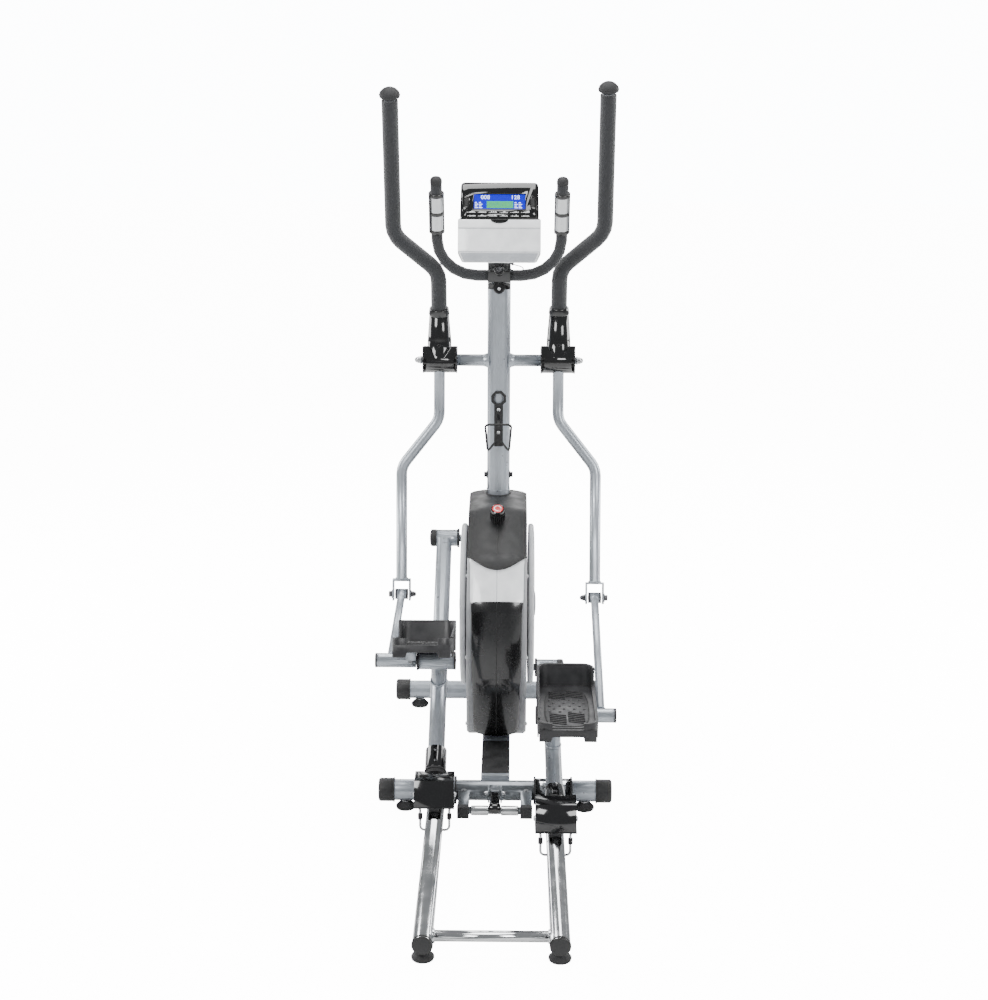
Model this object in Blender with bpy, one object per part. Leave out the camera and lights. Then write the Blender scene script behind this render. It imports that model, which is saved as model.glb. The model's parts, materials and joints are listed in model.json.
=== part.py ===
"""Elliptical trainer: a floor frame with a mast, a crank drive in a casing, two pedal tubes that
run on rear rails and two swinging handles. X is to the user's right, +Y the way the user faces,
and Z up from the floor. The origin is on the floor under the middle stabiliser."""

import math

import bmesh
import bpy
from mathutils import Matrix, Vector

# Clearances
FIT = 0.0003            # between pieces that seat on each other
RUN = 0.0020            # between pieces that move past each other

# Roundness of the turned and swept shapes
ROUND = 24
TUBE = 14
SMALL = 10

# Floor frame
BASE_LENGTH = 0.703     # middle stabiliser to front stabiliser
STABILISER_WIDTH = 0.565
STABILISER_Z = 0.047
STABILISER_RADIUS = 0.025
STABILISER_WALL = 0.0025
CAP_LENGTH = 0.038
CAP_WALL = 0.0035
BEAM_WIDTH = 0.070
BEAM_HEIGHT = 0.040
BEAM_Z = 0.055
FOOT_X = 0.217
FOOT_RADIUS = 0.024
FOOT_HEIGHT = 0.0195
STUD_RADIUS = 0.005
STUD_ENTRY = 0.010      # how far a foot's stud stands inside its tube
WHEEL_X = 0.150
WHEEL_RADIUS = 0.026
WHEEL_WIDTH = 0.020
WHEEL_Z = 0.030
WHEEL_REACH = 0.056     # wheel axle ahead of the front stabiliser
WHEEL_PIN = 0.005

# Rear rails and the latch that holds them down
RAIL_X = 0.140
RAIL_LENGTH = 0.785
RAIL_RADIUS = 0.0208
RAIL_WALL = 0.002
RAIL_Z = 0.044
RAIL_CAP_LENGTH = 0.012
SLEEVE_WALL = 0.0045
SLEEVE_LENGTH = 0.085
REAR_TUBE_RADIUS = 0.012
REAR_TUBE_INSET = 0.045
RAIL_FOOT_INSET = 0.030
LATCH_ARM_X = 0.075
LATCH_Z = 0.043
LATCH_ARM_SIZE = 0.026
LATCH_ARM_LENGTH = 0.125
LATCH_TUBE_RADIUS = 0.009
LATCH_TUBE_INSET = 0.014
LEVER_WIDTH = 0.024
LEVER_THICK = 0.012
LEVER_LENGTH = 0.090
LEVER_PIVOT = Vector((0, -0.044, 0.0586))
LEVER_PIN = 0.003
LEVER_CHEEK = 0.004

# Mast, crossbar and what the mast carries
MAST_Y = 0.590
MAST_RADIUS = 0.030
MAST_WALL = 0.0025
MAST_TOP = 1.300
POST_SIZE = 0.060
POST_TOP = 0.500
CROSSBAR_Z = 1.000
CROSSBAR_RADIUS = 0.0155
SPINDLE_RADIUS = 0.0095

# Crank drive
CRANK_Y = 0.490
CRANK_Z = 0.368
CRANK_RADIUS = 0.178
AXLE_RADIUS = 0.010
DISC_RADIUS = 0.212
DISC_INNER = 0.0795
DISC_THICK = 0.015
PULLEY_RADIUS = 0.120
PULLEY_X = -0.044
PULLEY_WIDTH = 0.012
FLYWHEEL_Y = 0.655
FLYWHEEL_Z = 0.330
FLYWHEEL_RADIUS = 0.084
FLYWHEEL_X = 0.041
FLYWHEEL_WIDTH = 0.022
FLYWHEEL_AXLE = 0.008
SMALL_PULLEY_RADIUS = 0.020
BELT_THICK = 0.002
BELT_GAP = 0.0008
BELT_WIDTH = 0.009
LUG_HALF = 0.028

# Casing
CASING_HALF = 0.076
CASING_WALL = 0.003
CASING_RIM = 0.006
SKIN_THICK = 0.004
NOSE_TIP_HALF = 0.056
NOSE_HALF = 0.066
NOSE_CROWN = 0.012
PANEL_HALF = 0.070
PANEL_CROWN = 0.009
COVER_HALF = 0.0755
COVER_CROWN = 0.010
CASING_CORNERS = ((0.250, 0.079), (0.212, 0.250), (0.235, 0.440), (0.300, 0.535),
                  (0.450, 0.624), (0.640, 0.632), (0.752, 0.520), (0.765, 0.250), (0.735, 0.079))
CASING_FILLET = 0.070
NOSE_START = 0.062      # along the casing's outline, from its lower rear corner
NOSE_END = 0.412
PANEL_END = 0.533
COVER_END = 0.985
KNOB_ALONG = 0.655
KNOB_RADIUS = 0.0185
KNOB_HEIGHT = 0.038
KNOB_STEM = 0.0055

# Pedal linkage
ROLLER_Z = 0.105
ROLLER_HALF = 0.0105
ROLLER_RIM = 0.0425
ROLLER_PIN = 0.006
TUBE_LENGTH = 0.787     # roller axle to crank pin
TUBE_RADIUS = 0.020
HUB_ALONG = 0.313       # pedal hub from the roller axle, along the tube
HUB_ABOVE = 0.101       # and above it
HUB_RADIUS = 0.0215
HUB_INNER = 0.098
HUB_OUTER = 0.190
PIN_HUB_INNER = 0.104
PIN_HUB_OUTER = 0.170
PIN_RADIUS = 0.0095
YOKE_THICK = 0.006
SHROUD_HALF = 0.046
SHROUD_WALL = 0.003
SHROUD_REACH = 0.048    # rear face behind the roller's axle
SHROUD_SKIRT = 0.014    # lower edge below it
SHROUD_TOP = 0.049
SLOT_START = 0.016      # the pedal tube leaves through a slot from here forward
HOOP_LEG = 0.034
HOOP_TOP = 0.004
HOOP_RADIUS = 0.003
LINK_LENGTH = 0.460
LINK_X = 0.2535
LINK_RADIUS = 0.010
CROSS_TUBE_RADIUS = 0.0175
CROSS_TUBE_END = 0.288
EYE_HALF = 0.0125
EYE_RADIUS = 0.014
PEDAL_DROOP = math.radians(-21)
PEDAL_INNER = 0.098
PEDAL_OUTER = 0.239
PEDAL_BACK = 0.205
PEDAL_FRONT = 0.105
PEDAL_THICK = 0.018
PEDAL_RISE = 0.0236     # underside above the hub's axis
TOE_HEIGHT = 0.052
GUARD_HEIGHT = 0.034
GUARD_WALL = 0.007
LIP_HEIGHT = 0.014
PEDAL_CORNER = 0.030
GUARD_PEAK = 0.020      # where the inner guard reaches its full height, ahead of the hub
TOE_REACH = 0.060       # how far the toe wall runs back along the sides
OUTER_REACH = 0.040
NOTCH_HALF = 0.036
NOTCH_REACH = 0.012
NOTCH_SINK = 0.002

# Swinging handles
ARM_RADIUS = 0.618      # crossbar to the lower end of an arm
ARM_TUBE = 0.0145
ARM_INNER = 0.1085
ARM_OUTER = 0.2025
ARM_BARREL = 0.020
ARM_LEG_X = 0.155
ARM_TOP_X = 0.268
ARM_LEAN = 0.443        # handle's backward lean for each metre up
ARM_LEAN_START = 0.050
ARM_TOP = 0.642
COVER_BARREL = 0.033
GRIP_RADIUS = 0.0205
GRIP_START = 0.135
STRAP_THICK = 0.0045
STRAP_HALF = 0.024
STRAP_TALL = 0.056
CAP_RADIUS = 0.0265

# Console and pulse bar
CONSOLE_LEAN = math.radians(-25)
CONSOLE_PLACE = Vector((0, 0.478, 1.272))
CONSOLE_HALF = 0.105
CONSOLE_TALL = 0.208
CONSOLE_DEEP = 0.036
BEZEL_HALF = 0.100
BEZEL_LOW = 0.109
BEZEL_THICK = 0.006
SCREEN_HALF = 0.065
SCREEN_LOW = 0.138
SCREEN_HIGH = 0.1765
KEY_X = 0.084
KEY_Z = 0.156
KEY_HALF = 0.0045
KEY_TALL = 0.022
KEY_PROUD = 0.001
KEY_BACK = 0.0025
KEY_TRAVEL = 0.002
SCREEN_FACE = 0.001     # screen below the bezel's face
SCREEN_BACK = 0.004
CONSOLE_STEP = 0.020    # height of the band below the bezel
STEP_PROUD = 0.003
CONSOLE_BEVEL = 0.010
CONSOLE_CORNER = 0.010
BOSS_HALF = 0.024
BOSS_REACH = 0.060
BOSS_TALL = 0.045
BAR_RADIUS = 0.0145
BAR_HALF = 0.157
BAR_LOW = Vector((0, 0.541, 1.228))
BAR_HIGH = Vector((0, 0.455, 1.470))
BAR_FILLET = 0.100
SENSOR_LOW = 0.060      # sensor below the bar's tip, along the leg
SENSOR_LENGTH = 0.098
CLAMP_HALF = 0.0285
CLAMP_LOW = 1.192
CLAMP_HIGH = 1.262
CLAMP_WALL = 0.0115     # in front of the bar

# Bottle cage
CAGE_RING_Z = 0.905
CAGE_FOOT_Z = 0.778
CAGE_SPINE_HALF = 0.0115
CAGE_THICK = 0.006
CAGE_ROD = 0.003
CAGE_RING = 0.021

FINISHES = {
    "silver": ((0.50, 0.53, 0.56), 0.38, 0.55),
    "chrome": ((0.78, 0.78, 0.78), 0.12, 1.0),
    "steel": ((0.45, 0.46, 0.47), 0.35, 1.0),
    "iron": ((0.10, 0.10, 0.11), 0.55, 0.7),
    "black gloss": ((0.015, 0.015, 0.017), 0.18, 0.0),
    "black": ((0.022, 0.022, 0.024), 0.5, 0.0),
    "foam": ((0.035, 0.037, 0.042), 0.85, 0.0),
    "light grey": ((0.50, 0.51, 0.52), 0.35, 0.0),
    "pale": ((0.78, 0.79, 0.81), 0.25, 0.0),
    "rubber": ((0.02, 0.02, 0.02), 0.8, 0.0),
    "screen": ((0.02, 0.03, 0.6), 0.1, 0.0),
}


def clear_scene():
    """Start from nothing."""
    for item in list(bpy.data.objects):
        bpy.data.objects.remove(item, do_unlink=True)


def paint(piece, finish):
    """Give a piece its own material."""
    color, roughness, metallic = FINISHES[finish]
    material = bpy.data.materials.new(piece.name)
    material.use_nodes = True
    shader = material.node_tree.nodes["Principled BSDF"]
    shader.inputs["Base Color"].default_value = (*color, 1)
    shader.inputs["Roughness"].default_value = roughness
    shader.inputs["Metallic"].default_value = metallic
    piece.data.materials.clear()
    piece.data.materials.append(material)


def solid(name, points, faces, finish=None):
    """Make a closed solid from its points and faces, with every face turned outward."""
    mesh = bpy.data.meshes.new(name)
    mesh.from_pydata([tuple(point) for point in points], [], faces)
    shape = bmesh.new()
    shape.from_mesh(mesh)
    bmesh.ops.recalc_face_normals(shape, faces=shape.faces)
    shape.to_mesh(mesh)
    shape.free()
    piece = bpy.data.objects.new(name, mesh)
    bpy.context.collection.objects.link(piece)
    if finish:
        paint(piece, finish)
    return piece


def combine(piece, tools, operation):
    """Apply a union, difference or intersection with each tool, and use the tools up."""
    materials = list(piece.data.materials)
    for tool in tools:
        change = piece.modifiers.new(operation, "BOOLEAN")
        change.operation = operation
        change.solver = "EXACT"
        change.object = tool
        bpy.context.view_layer.update()
        graph = bpy.context.evaluated_depsgraph_get()
        result = bpy.data.meshes.new_from_object(piece.evaluated_get(graph))
        piece.modifiers.remove(change)
        piece.data = result
        bpy.data.objects.remove(tool, do_unlink=True)
    piece.data.materials.clear()
    for material in materials:
        piece.data.materials.append(material)
    return piece


def weld(piece, *tools):
    """Join solids that run into each other."""
    return combine(piece, tools, "UNION")


def cut(piece, *tools):
    """Take solids away."""
    return combine(piece, tools, "DIFFERENCE")


def smooth_all():
    """Shade every piece smooth but for its sharp edges."""
    for piece in bpy.data.objects:
        if piece.type == "MESH":
            piece.data.shade_smooth()
            piece.data.set_sharp_from_angle(angle=math.radians(35))


def pivot(name, place, angle=0.0, parent=None):
    """An empty on a joint's axis, turned about X, that carries the pieces built around it."""
    holder = bpy.data.objects.new(name, None)
    holder.location = place
    holder.rotation_euler.x = angle
    holder.parent = parent
    bpy.context.collection.objects.link(holder)
    return holder


def carry(holder, *pieces):
    """Hang pieces that were built around the origin on a joint's empty."""
    for piece in pieces:
        piece.parent = holder


def circle(radius, count=TUBE):
    """Round cross-section."""
    turns = [2 * math.pi * step / count for step in range(count)]
    return [(radius * math.cos(turn), radius * math.sin(turn)) for turn in turns]


def fillet(corners, radius, steps=4, closed=False):
    """A path through the corners with an arc at each bend, kept inside half of each stretch."""
    corners = [Vector(corner).to_3d() for corner in corners]
    count = len(corners)
    path = []
    for index, corner in enumerate(corners):
        if not closed and index in (0, count - 1):
            path.append(corner)
            continue
        back = corners[index - 1] - corner
        ahead = corners[(index + 1) % count] - corner
        bend = math.pi - back.angle(ahead)
        if bend < 0.02:
            path.append(corner)
            continue
        reach = min(radius * math.tan(bend / 2), 0.49 * back.length, 0.49 * ahead.length)
        arc = reach / math.tan(bend / 2)
        middle = corner + (back.normalized() + ahead.normalized()).normalized() * (arc / math.cos(bend / 2))
        start = (corner + back.normalized() * reach - middle).normalized()
        end = (corner + ahead.normalized() * reach - middle).normalized()
        path.extend(middle + start.slerp(end, step / steps) * arc for step in range(steps + 1))
    return path


def flat(path):
    """The first two coordinates of each point of a path."""
    return [(point.x, point.y) for point in path]


def cross_frames(path):
    """Two directions square to a path at each of its points, carried along without twist."""
    frames = []
    side = None
    for index, point in enumerate(path):
        ahead = path[min(index + 1, len(path) - 1)] - point
        behind = point - path[max(index - 1, 0)]
        along = (ahead.normalized() + behind.normalized()).normalized()
        if side is None:
            side = Vector((1, 0, 0)) if abs(along.x) < 0.9 else Vector((0, 1, 0))
        side = (side - along * side.dot(along)).normalized()
        frames.append((side.copy(), along.cross(side)))
    return frames


def sweep(name, path, section, bore=None, finish=None):
    """Carry a cross-section along a path. With a bore the result is a pipe, open at both ends."""
    path = [Vector(point) for point in path]
    frames = cross_frames(path)
    count = len(section)
    points = []
    for outline in (section, bore) if bore else (section,):
        for centre, (side, up) in zip(path, frames):
            points.extend(centre + side * a + up * b for a, b in outline)
    inner = len(path) * count
    last = (len(path) - 1) * count
    faces = []
    for ring in range(len(path) - 1):
        for step in range(count):
            near = ring * count + step
            far = ring * count + (step + 1) % count
            faces.append((near, far, far + count, near + count))
            if bore:
                faces.append((inner + near, inner + near + count, inner + far + count, inner + far))
    if bore:
        for start in (0, last):
            for step in range(count):
                near = start + step
                far = start + (step + 1) % count
                faces.append((near, far, inner + far, inner + near))
    else:
        faces.append(tuple(range(count)))
        faces.append(tuple(range(last, last + count)))
    return solid(name, points, faces, finish)


def axis_point(axis, along, across, up):
    """A point from its distance along an axis and its two other coordinates, in X, Y, Z order."""
    if axis == "X":
        return Vector((along, across, up))
    if axis == "Y":
        return Vector((across, along, up))
    return Vector((across, up, along))


def rod(name, axis, centre, low, high, radius, bore=None, count=TUBE, finish=None):
    """A round bar, or a pipe, along an axis. Centre holds its other two coordinates."""
    ends = [axis_point(axis, along, *centre) for along in (low, high)]
    hole = circle(bore, count) if bore else None
    return sweep(name, ends, circle(radius, count), hole, finish)


def turned(name, axis, centre, outline, count=ROUND, ring=False, finish=None):
    """Turn an outline of (radius, along) points about an axis. A ring's outline closes on itself."""
    points = []
    rings = []
    for radius, along in outline:
        rings.append((len(points), radius > 0))
        section = circle(radius, count) if radius > 0 else [(0, 0)]
        for a, b in section:
            points.append(axis_point(axis, along, centre[0] + a, centre[1] + b))
    pairs = list(zip(rings, rings[1:] + rings[:1])) if ring else list(zip(rings, rings[1:]))
    faces = []
    for (near, near_round), (far, far_round) in pairs:
        for step in range(count):
            after = (step + 1) % count
            if near_round and far_round:
                faces.append((near + step, near + after, far + after, far + step))
            elif near_round:
                faces.append((near + step, near + after, far))
            elif far_round:
                faces.append((near, far + after, far + step))
    if not ring:
        for start, is_round in (rings[0], rings[-1]):
            if is_round:
                faces.append(tuple(range(start, start + count)))
    return solid(name, points, faces, finish)


def prism(name, axis, outline, low, high, hole=None, finish=None):
    """Extrude an outline between two planes square to an axis, with a hole of as many points."""
    count = len(outline)
    points = []
    for border in (outline, hole) if hole else (outline,):
        for along in (low, high):
            points.extend(axis_point(axis, along, a, b) for a, b in border)
    faces = []
    for step in range(count):
        after = (step + 1) % count
        faces.append((step, after, count + after, count + step))
        if hole:
            faces.append((2 * count + step, 3 * count + step, 3 * count + after, 2 * count + after))
            faces.append((step, 2 * count + step, 2 * count + after, after))
            faces.append((count + step, count + after, 3 * count + after, 3 * count + step))
    if not hole:
        faces.append(tuple(range(count)))
        faces.append(tuple(range(count, 2 * count)))
    return solid(name, points, faces, finish)


def box(name, low, high, finish=None):
    """A block between two corners."""
    outline = [(low[0], low[1]), (high[0], low[1]), (high[0], high[1]), (low[0], high[1])]
    return prism(name, "Z", outline, low[2], high[2], finish=finish)


def between(side, near, far):
    """Two distances from the middle as low and high X on one side."""
    return sorted((side * near, side * far))


def reshape(piece, change):
    """Move a piece's mesh by a matrix."""
    piece.data.transform(change)
    return piece


# Closed linkage at rest: crank pin, roller, tube, pedal hub, link and arm

def linkage(crank_turn):
    """Where one side's pieces stand for a crank angle, measured forward from straight up."""
    pin_y = CRANK_Y + CRANK_RADIUS * math.sin(crank_turn)
    pin_z = CRANK_Z + CRANK_RADIUS * math.cos(crank_turn)
    pitch = math.asin((pin_z - ROLLER_Z) / TUBE_LENGTH)
    roller_y = pin_y - TUBE_LENGTH * math.cos(pitch)
    hub_y = roller_y + HUB_ALONG * math.cos(pitch) - HUB_ABOVE * math.sin(pitch)
    hub_z = ROLLER_Z + HUB_ALONG * math.sin(pitch) + HUB_ABOVE * math.cos(pitch)
    away = math.dist((hub_y, hub_z), (MAST_Y, CROSSBAR_Z))
    upward = math.atan2(CROSSBAR_Z - hub_z, MAST_Y - hub_y)
    inner = math.acos((away ** 2 + LINK_LENGTH ** 2 - ARM_RADIUS ** 2) / (2 * away * LINK_LENGTH))
    link_pitch = upward - inner
    clevis_y = hub_y + LINK_LENGTH * math.cos(link_pitch)
    arm_turn = math.asin((clevis_y - MAST_Y) / ARM_RADIUS)
    return {"roller_y": roller_y, "pitch": pitch, "link": link_pitch, "arm": arm_turn}


# Floor frame

def stabiliser(name, y):
    """A round floor tube with a hole under each end for a levelling foot's stud."""
    half = STABILISER_WIDTH / 2 - CAP_WALL - FIT
    tube = rod(name, "X", (y, STABILISER_Z), -half, half, STABILISER_RADIUS,
               STABILISER_RADIUS - STABILISER_WALL, finish="silver")
    for side in (-1, 1):
        cut(tube, rod("hole", "Z", (side * FOOT_X, y), 0, STABILISER_Z, STUD_RADIUS + FIT, count=SMALL))
    return tube


def stabiliser_cap(name, side, y):
    """A cup that closes one end of a floor tube."""
    outer = STABILISER_RADIUS + FIT + CAP_WALL
    edge = STABILISER_WIDTH / 2
    outline = [(0, edge), (outer - 0.004, edge), (outer, edge - 0.004), (outer, edge - CAP_LENGTH),
               (STABILISER_RADIUS + FIT, edge - CAP_LENGTH), (STABILISER_RADIUS + FIT, edge - CAP_WALL),
               (0, edge - CAP_WALL)]
    outline = [(radius, side * along) for radius, along in outline]
    return turned(name, "X", (y, STABILISER_Z), outline, TUBE, finish="black")


def levelling_foot(name, x, y, tube_bottom):
    """A rubber foot on a stud that screws into the tube above it."""
    top = tube_bottom + STUD_ENTRY
    outline = [(0, 0), (FOOT_RADIUS - 0.002, 0), (FOOT_RADIUS, 0.003), (FOOT_RADIUS, 0.008),
               (0.012, FOOT_HEIGHT), (STUD_RADIUS, FOOT_HEIGHT), (STUD_RADIUS, top), (0, top)]
    foot = turned(name, "Z", (0, 0), outline, TUBE, finish="rubber")
    foot.location = (x, y, 0)
    return foot


def base_frame():
    """The floor beam, the post that carries the mast and the bearing lugs of the drive."""
    gap = STABILISER_RADIUS + FIT
    beam_low = BEAM_Z - BEAM_HEIGHT / 2
    frame = box("base_frame", (-BEAM_WIDTH / 2, gap, beam_low),
                (BEAM_WIDTH / 2, BASE_LENGTH - gap, beam_low + BEAM_HEIGHT), "silver")
    half = POST_SIZE / 2
    post = box("post", (-half, MAST_Y - half, BEAM_Z), (half, MAST_Y + half, POST_TOP))
    crank_lug = box("lug", (-LUG_HALF, CRANK_Y - 0.026, CRANK_Z - 0.026),
                    (LUG_HALF, MAST_Y, CRANK_Z + 0.026))
    wheel_lug = box("lug", (-LUG_HALF + 0.004, MAST_Y, FLYWHEEL_Z - 0.018),
                    (LUG_HALF - 0.004, FLYWHEEL_Y + 0.018, FLYWHEEL_Z + 0.018))
    weld(frame, post, crank_lug, wheel_lug)
    wide = POST_SIZE
    cut(frame, rod("bore", "X", (CRANK_Y, CRANK_Z), -wide, wide, AXLE_RADIUS + FIT),
        rod("bore", "X", (FLYWHEEL_Y, FLYWHEEL_Z), -wide, wide, FLYWHEEL_AXLE + FIT))
    return frame


def wheel_lug(side):
    """A lug and pin for one transport wheel, to weld to the front stabiliser."""
    axle_y = BASE_LENGTH + WHEEL_REACH
    near = WHEEL_X - WHEEL_WIDTH / 2 - RUN
    outline = [(BASE_LENGTH + 0.018, WHEEL_Z - 0.009), (axle_y + 0.008, WHEEL_Z - 0.009),
               (axle_y + 0.008, WHEEL_Z + 0.009), (BASE_LENGTH + 0.018, STABILISER_Z + 0.015)]
    lug = prism("lug", "X", outline, *between(side, near - 0.006, near))
    pin = rod("pin", "X", (axle_y, WHEEL_Z), *between(side, near - 0.003, near + WHEEL_WIDTH + 2 * RUN),
              WHEEL_PIN, count=SMALL)
    return weld(lug, pin)


def transport_wheel(name, side):
    """A small wheel that touches the floor when the machine is tipped forward."""
    half = WHEEL_WIDTH / 2
    bore = WHEEL_PIN + FIT
    outline = [(bore, -half), (WHEEL_RADIUS - 0.003, -half), (WHEEL_RADIUS, -half + 0.003),
               (WHEEL_RADIUS, half - 0.003), (WHEEL_RADIUS - 0.003, half), (bore, half)]
    wheel = turned(name, "X", (0, 0), outline, TUBE, ring=True, finish="black")
    wheel.location = (side * WHEEL_X, BASE_LENGTH + WHEEL_REACH, WHEEL_Z)
    return wheel


def latch_parts():
    """Two square arms, the tube between them and the forked bracket of the latch lever."""
    half = LATCH_ARM_SIZE / 2
    pieces = []
    for side in (-1, 1):
        low, high = between(side, LATCH_ARM_X - half, LATCH_ARM_X + half)
        pieces.append(box("arm", (low, -LATCH_ARM_LENGTH, LATCH_Z - half),
                          (high, -STABILISER_RADIUS / 2, LATCH_Z + half)))
    tube_y = LATCH_TUBE_INSET - LATCH_ARM_LENGTH
    pieces.append(rod("tube", "X", (tube_y, LATCH_Z), -LATCH_ARM_X, LATCH_ARM_X, LATCH_TUBE_RADIUS,
                      count=SMALL))
    near = LEVER_WIDTH / 2 + RUN / 2
    far = near + LEVER_CHEEK
    for side in (-1, 1):
        low, high = between(side, near, far)
        pieces.append(box("cheek", (low, LEVER_PIVOT.y - 0.009, STABILISER_Z - 0.010),
                          (high, -STABILISER_RADIUS / 2, LEVER_PIVOT.z + 0.008)))
    pieces.append(rod("pin", "X", LEVER_PIVOT.yz, -far + 0.001, far - 0.001, LEVER_PIN, count=SMALL))
    return pieces


def latch_lever():
    """The lever that locks the rails down, hinged in its bracket and ending in a round grip."""
    half = LEVER_WIDTH / 2
    thick = LEVER_THICK / 2
    outline = [(thick, -thick), (thick, thick), (-LEVER_LENGTH, thick), (-LEVER_LENGTH, -thick)]
    lever = prism("latch_lever", "X", flat(fillet(outline, 0.005, 2, closed=True)), -half, half,
                  finish="black")
    grip = turned("grip", "X", (-LEVER_LENGTH, 0),
                  [(0, -half - 0.002), (0.010, -half - 0.002), (0.013, -half + 0.002),
                   (0.013, half - 0.002), (0.010, half + 0.002), (0, half + 0.002)], TUBE)
    weld(lever, grip)
    cut(lever, rod("bore", "X", (0, 0), -0.05, 0.05, LEVER_PIN + FIT, count=SMALL))
    carry(pivot("latch_hinge", LEVER_PIVOT), lever)


def rail_frame():
    """Two chrome rails with a rear cross tube and a sleeve each around the middle stabiliser."""
    rear = -RAIL_LENGTH + 0.003
    bore = STABILISER_RADIUS + FIT
    half = SLEEVE_LENGTH / 2
    frame = rod("rail_frame", "X", (-RAIL_LENGTH + REAR_TUBE_INSET, RAIL_Z), -RAIL_X, RAIL_X,
                REAR_TUBE_RADIUS, count=SMALL, finish="chrome")
    for side in (-1, 1):
        rail = rod("rail", "Y", (side * RAIL_X, RAIL_Z), rear, -STABILISER_RADIUS / 2, RAIL_RADIUS)
        sleeve = rod("sleeve", "X", (0, STABILISER_Z), side * RAIL_X - half, side * RAIL_X + half,
                     bore + SLEEVE_WALL, count=24)
        weld(frame, rail, sleeve)
    for side in (-1, 1):
        cut(frame,
            rod("bore", "X", (0, STABILISER_Z), side * RAIL_X - SLEEVE_LENGTH,
                side * RAIL_X + SLEEVE_LENGTH, bore, count=24),
            rod("hollow", "Y", (side * RAIL_X, RAIL_Z), rear - 0.01, -STABILISER_RADIUS - 0.012,
                RAIL_RADIUS - RAIL_WALL),
            rod("hole", "Z", (side * RAIL_X, -RAIL_LENGTH + RAIL_FOOT_INSET), 0, RAIL_Z,
                STUD_RADIUS + FIT, count=SMALL))
    return frame


def rail_cap(name, side):
    """A plug that closes a rail's rear end."""
    end = -RAIL_LENGTH
    seat = end + 0.003 - FIT
    inner = RAIL_RADIUS - RAIL_WALL - FIT
    outline = [(0, end), (RAIL_RADIUS - 0.002, end), (RAIL_RADIUS, end + 0.002), (RAIL_RADIUS, seat),
               (inner, seat), (inner, end + RAIL_CAP_LENGTH), (0, end + RAIL_CAP_LENGTH)]
    return turned(name, "Y", (side * RAIL_X, RAIL_Z), outline, TUBE, finish="black")


def floor_frame():
    """Everything that stands on the floor."""
    base_frame()
    middle = stabiliser("middle_stabiliser", 0)
    weld(middle, *latch_parts())
    front = stabiliser("front_stabiliser", BASE_LENGTH)
    weld(front, wheel_lug(-1), wheel_lug(1))
    rail_frame()
    latch_lever()
    bottom = STABILISER_Z - STABILISER_RADIUS
    for side, hand in ((-1, "left"), (1, "right")):
        for y, end in ((0, "middle"), (BASE_LENGTH, "front")):
            stabiliser_cap(f"{end}_cap_{hand}", side, y)
            levelling_foot(f"{end}_foot_{hand}", side * FOOT_X, y, bottom)
        rail_cap(f"rail_cap_{hand}", side)
        levelling_foot(f"rail_foot_{hand}", side * RAIL_X, -RAIL_LENGTH + RAIL_FOOT_INSET,
                       RAIL_Z - RAIL_RADIUS)
        transport_wheel(f"transport_wheel_{hand}", side)


# Drive and casing

def crank_drive():
    """Crank axle with its pulley, the two crank discs, the flywheel and the belt."""
    disc_outer = DISC_INNER + DISC_THICK
    low = PULLEY_X - PULLEY_WIDTH / 2
    high = PULLEY_X + PULLEY_WIDTH / 2
    outline = [(0, -disc_outer), (AXLE_RADIUS, -disc_outer), (AXLE_RADIUS, low - 0.004),
               (0.030, low - 0.004), (0.034, PULLEY_X - 0.002), (PULLEY_RADIUS - 0.010, PULLEY_X - 0.002),
               (PULLEY_RADIUS - 0.006, low), (PULLEY_RADIUS, low), (PULLEY_RADIUS, high),
               (PULLEY_RADIUS - 0.006, high), (PULLEY_RADIUS - 0.010, PULLEY_X + 0.002),
               (AXLE_RADIUS, PULLEY_X + 0.002), (AXLE_RADIUS, disc_outer), (0, disc_outer)]
    axle = turned("crank_axle", "X", (0, 0), outline, 26, finish="steel")
    crank = pivot("crank_centre", (0, CRANK_Y, CRANK_Z))
    carry(crank, axle)
    for side, hand in ((-1, "left"), (1, "right")):
        near = DISC_INNER
        bore = AXLE_RADIUS + FIT
        outline = [(bore, near), (DISC_RADIUS - 0.004, near), (DISC_RADIUS, near + 0.004),
                   (DISC_RADIUS, disc_outer - 0.004), (DISC_RADIUS - 0.006, disc_outer),
                   (bore, disc_outer)]
        outline = [(radius, side * along) for radius, along in outline]
        disc = turned(f"crank_disc_{hand}", "X", (0, 0), outline, 36, ring=True, finish="light grey")
        carry(crank, disc)
    wheel_low = FLYWHEEL_X - FLYWHEEL_WIDTH / 2
    wheel_high = FLYWHEEL_X + FLYWHEEL_WIDTH / 2
    outline = [(0, low - 0.006), (FLYWHEEL_AXLE, low - 0.006), (FLYWHEEL_AXLE, low),
               (SMALL_PULLEY_RADIUS, low), (SMALL_PULLEY_RADIUS, high), (FLYWHEEL_AXLE, high),
               (FLYWHEEL_AXLE, wheel_low), (FLYWHEEL_RADIUS - 0.003, wheel_low),
               (FLYWHEEL_RADIUS, wheel_low + 0.003), (FLYWHEEL_RADIUS, wheel_high - 0.003),
               (FLYWHEEL_RADIUS - 0.003, wheel_high), (FLYWHEEL_AXLE, wheel_high),
               (FLYWHEEL_AXLE, wheel_high + 0.006), (0, wheel_high + 0.006)]
    flywheel = turned("flywheel", "X", (0, 0), outline, ROUND, finish="iron")
    carry(pivot("flywheel_centre", (0, FLYWHEEL_Y, FLYWHEEL_Z)), flywheel)
    prism("drive_belt", "X", belt_line(BELT_GAP + BELT_THICK), PULLEY_X - BELT_WIDTH / 2,
          PULLEY_X + BELT_WIDTH / 2, hole=belt_line(BELT_GAP), finish="rubber")


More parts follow.
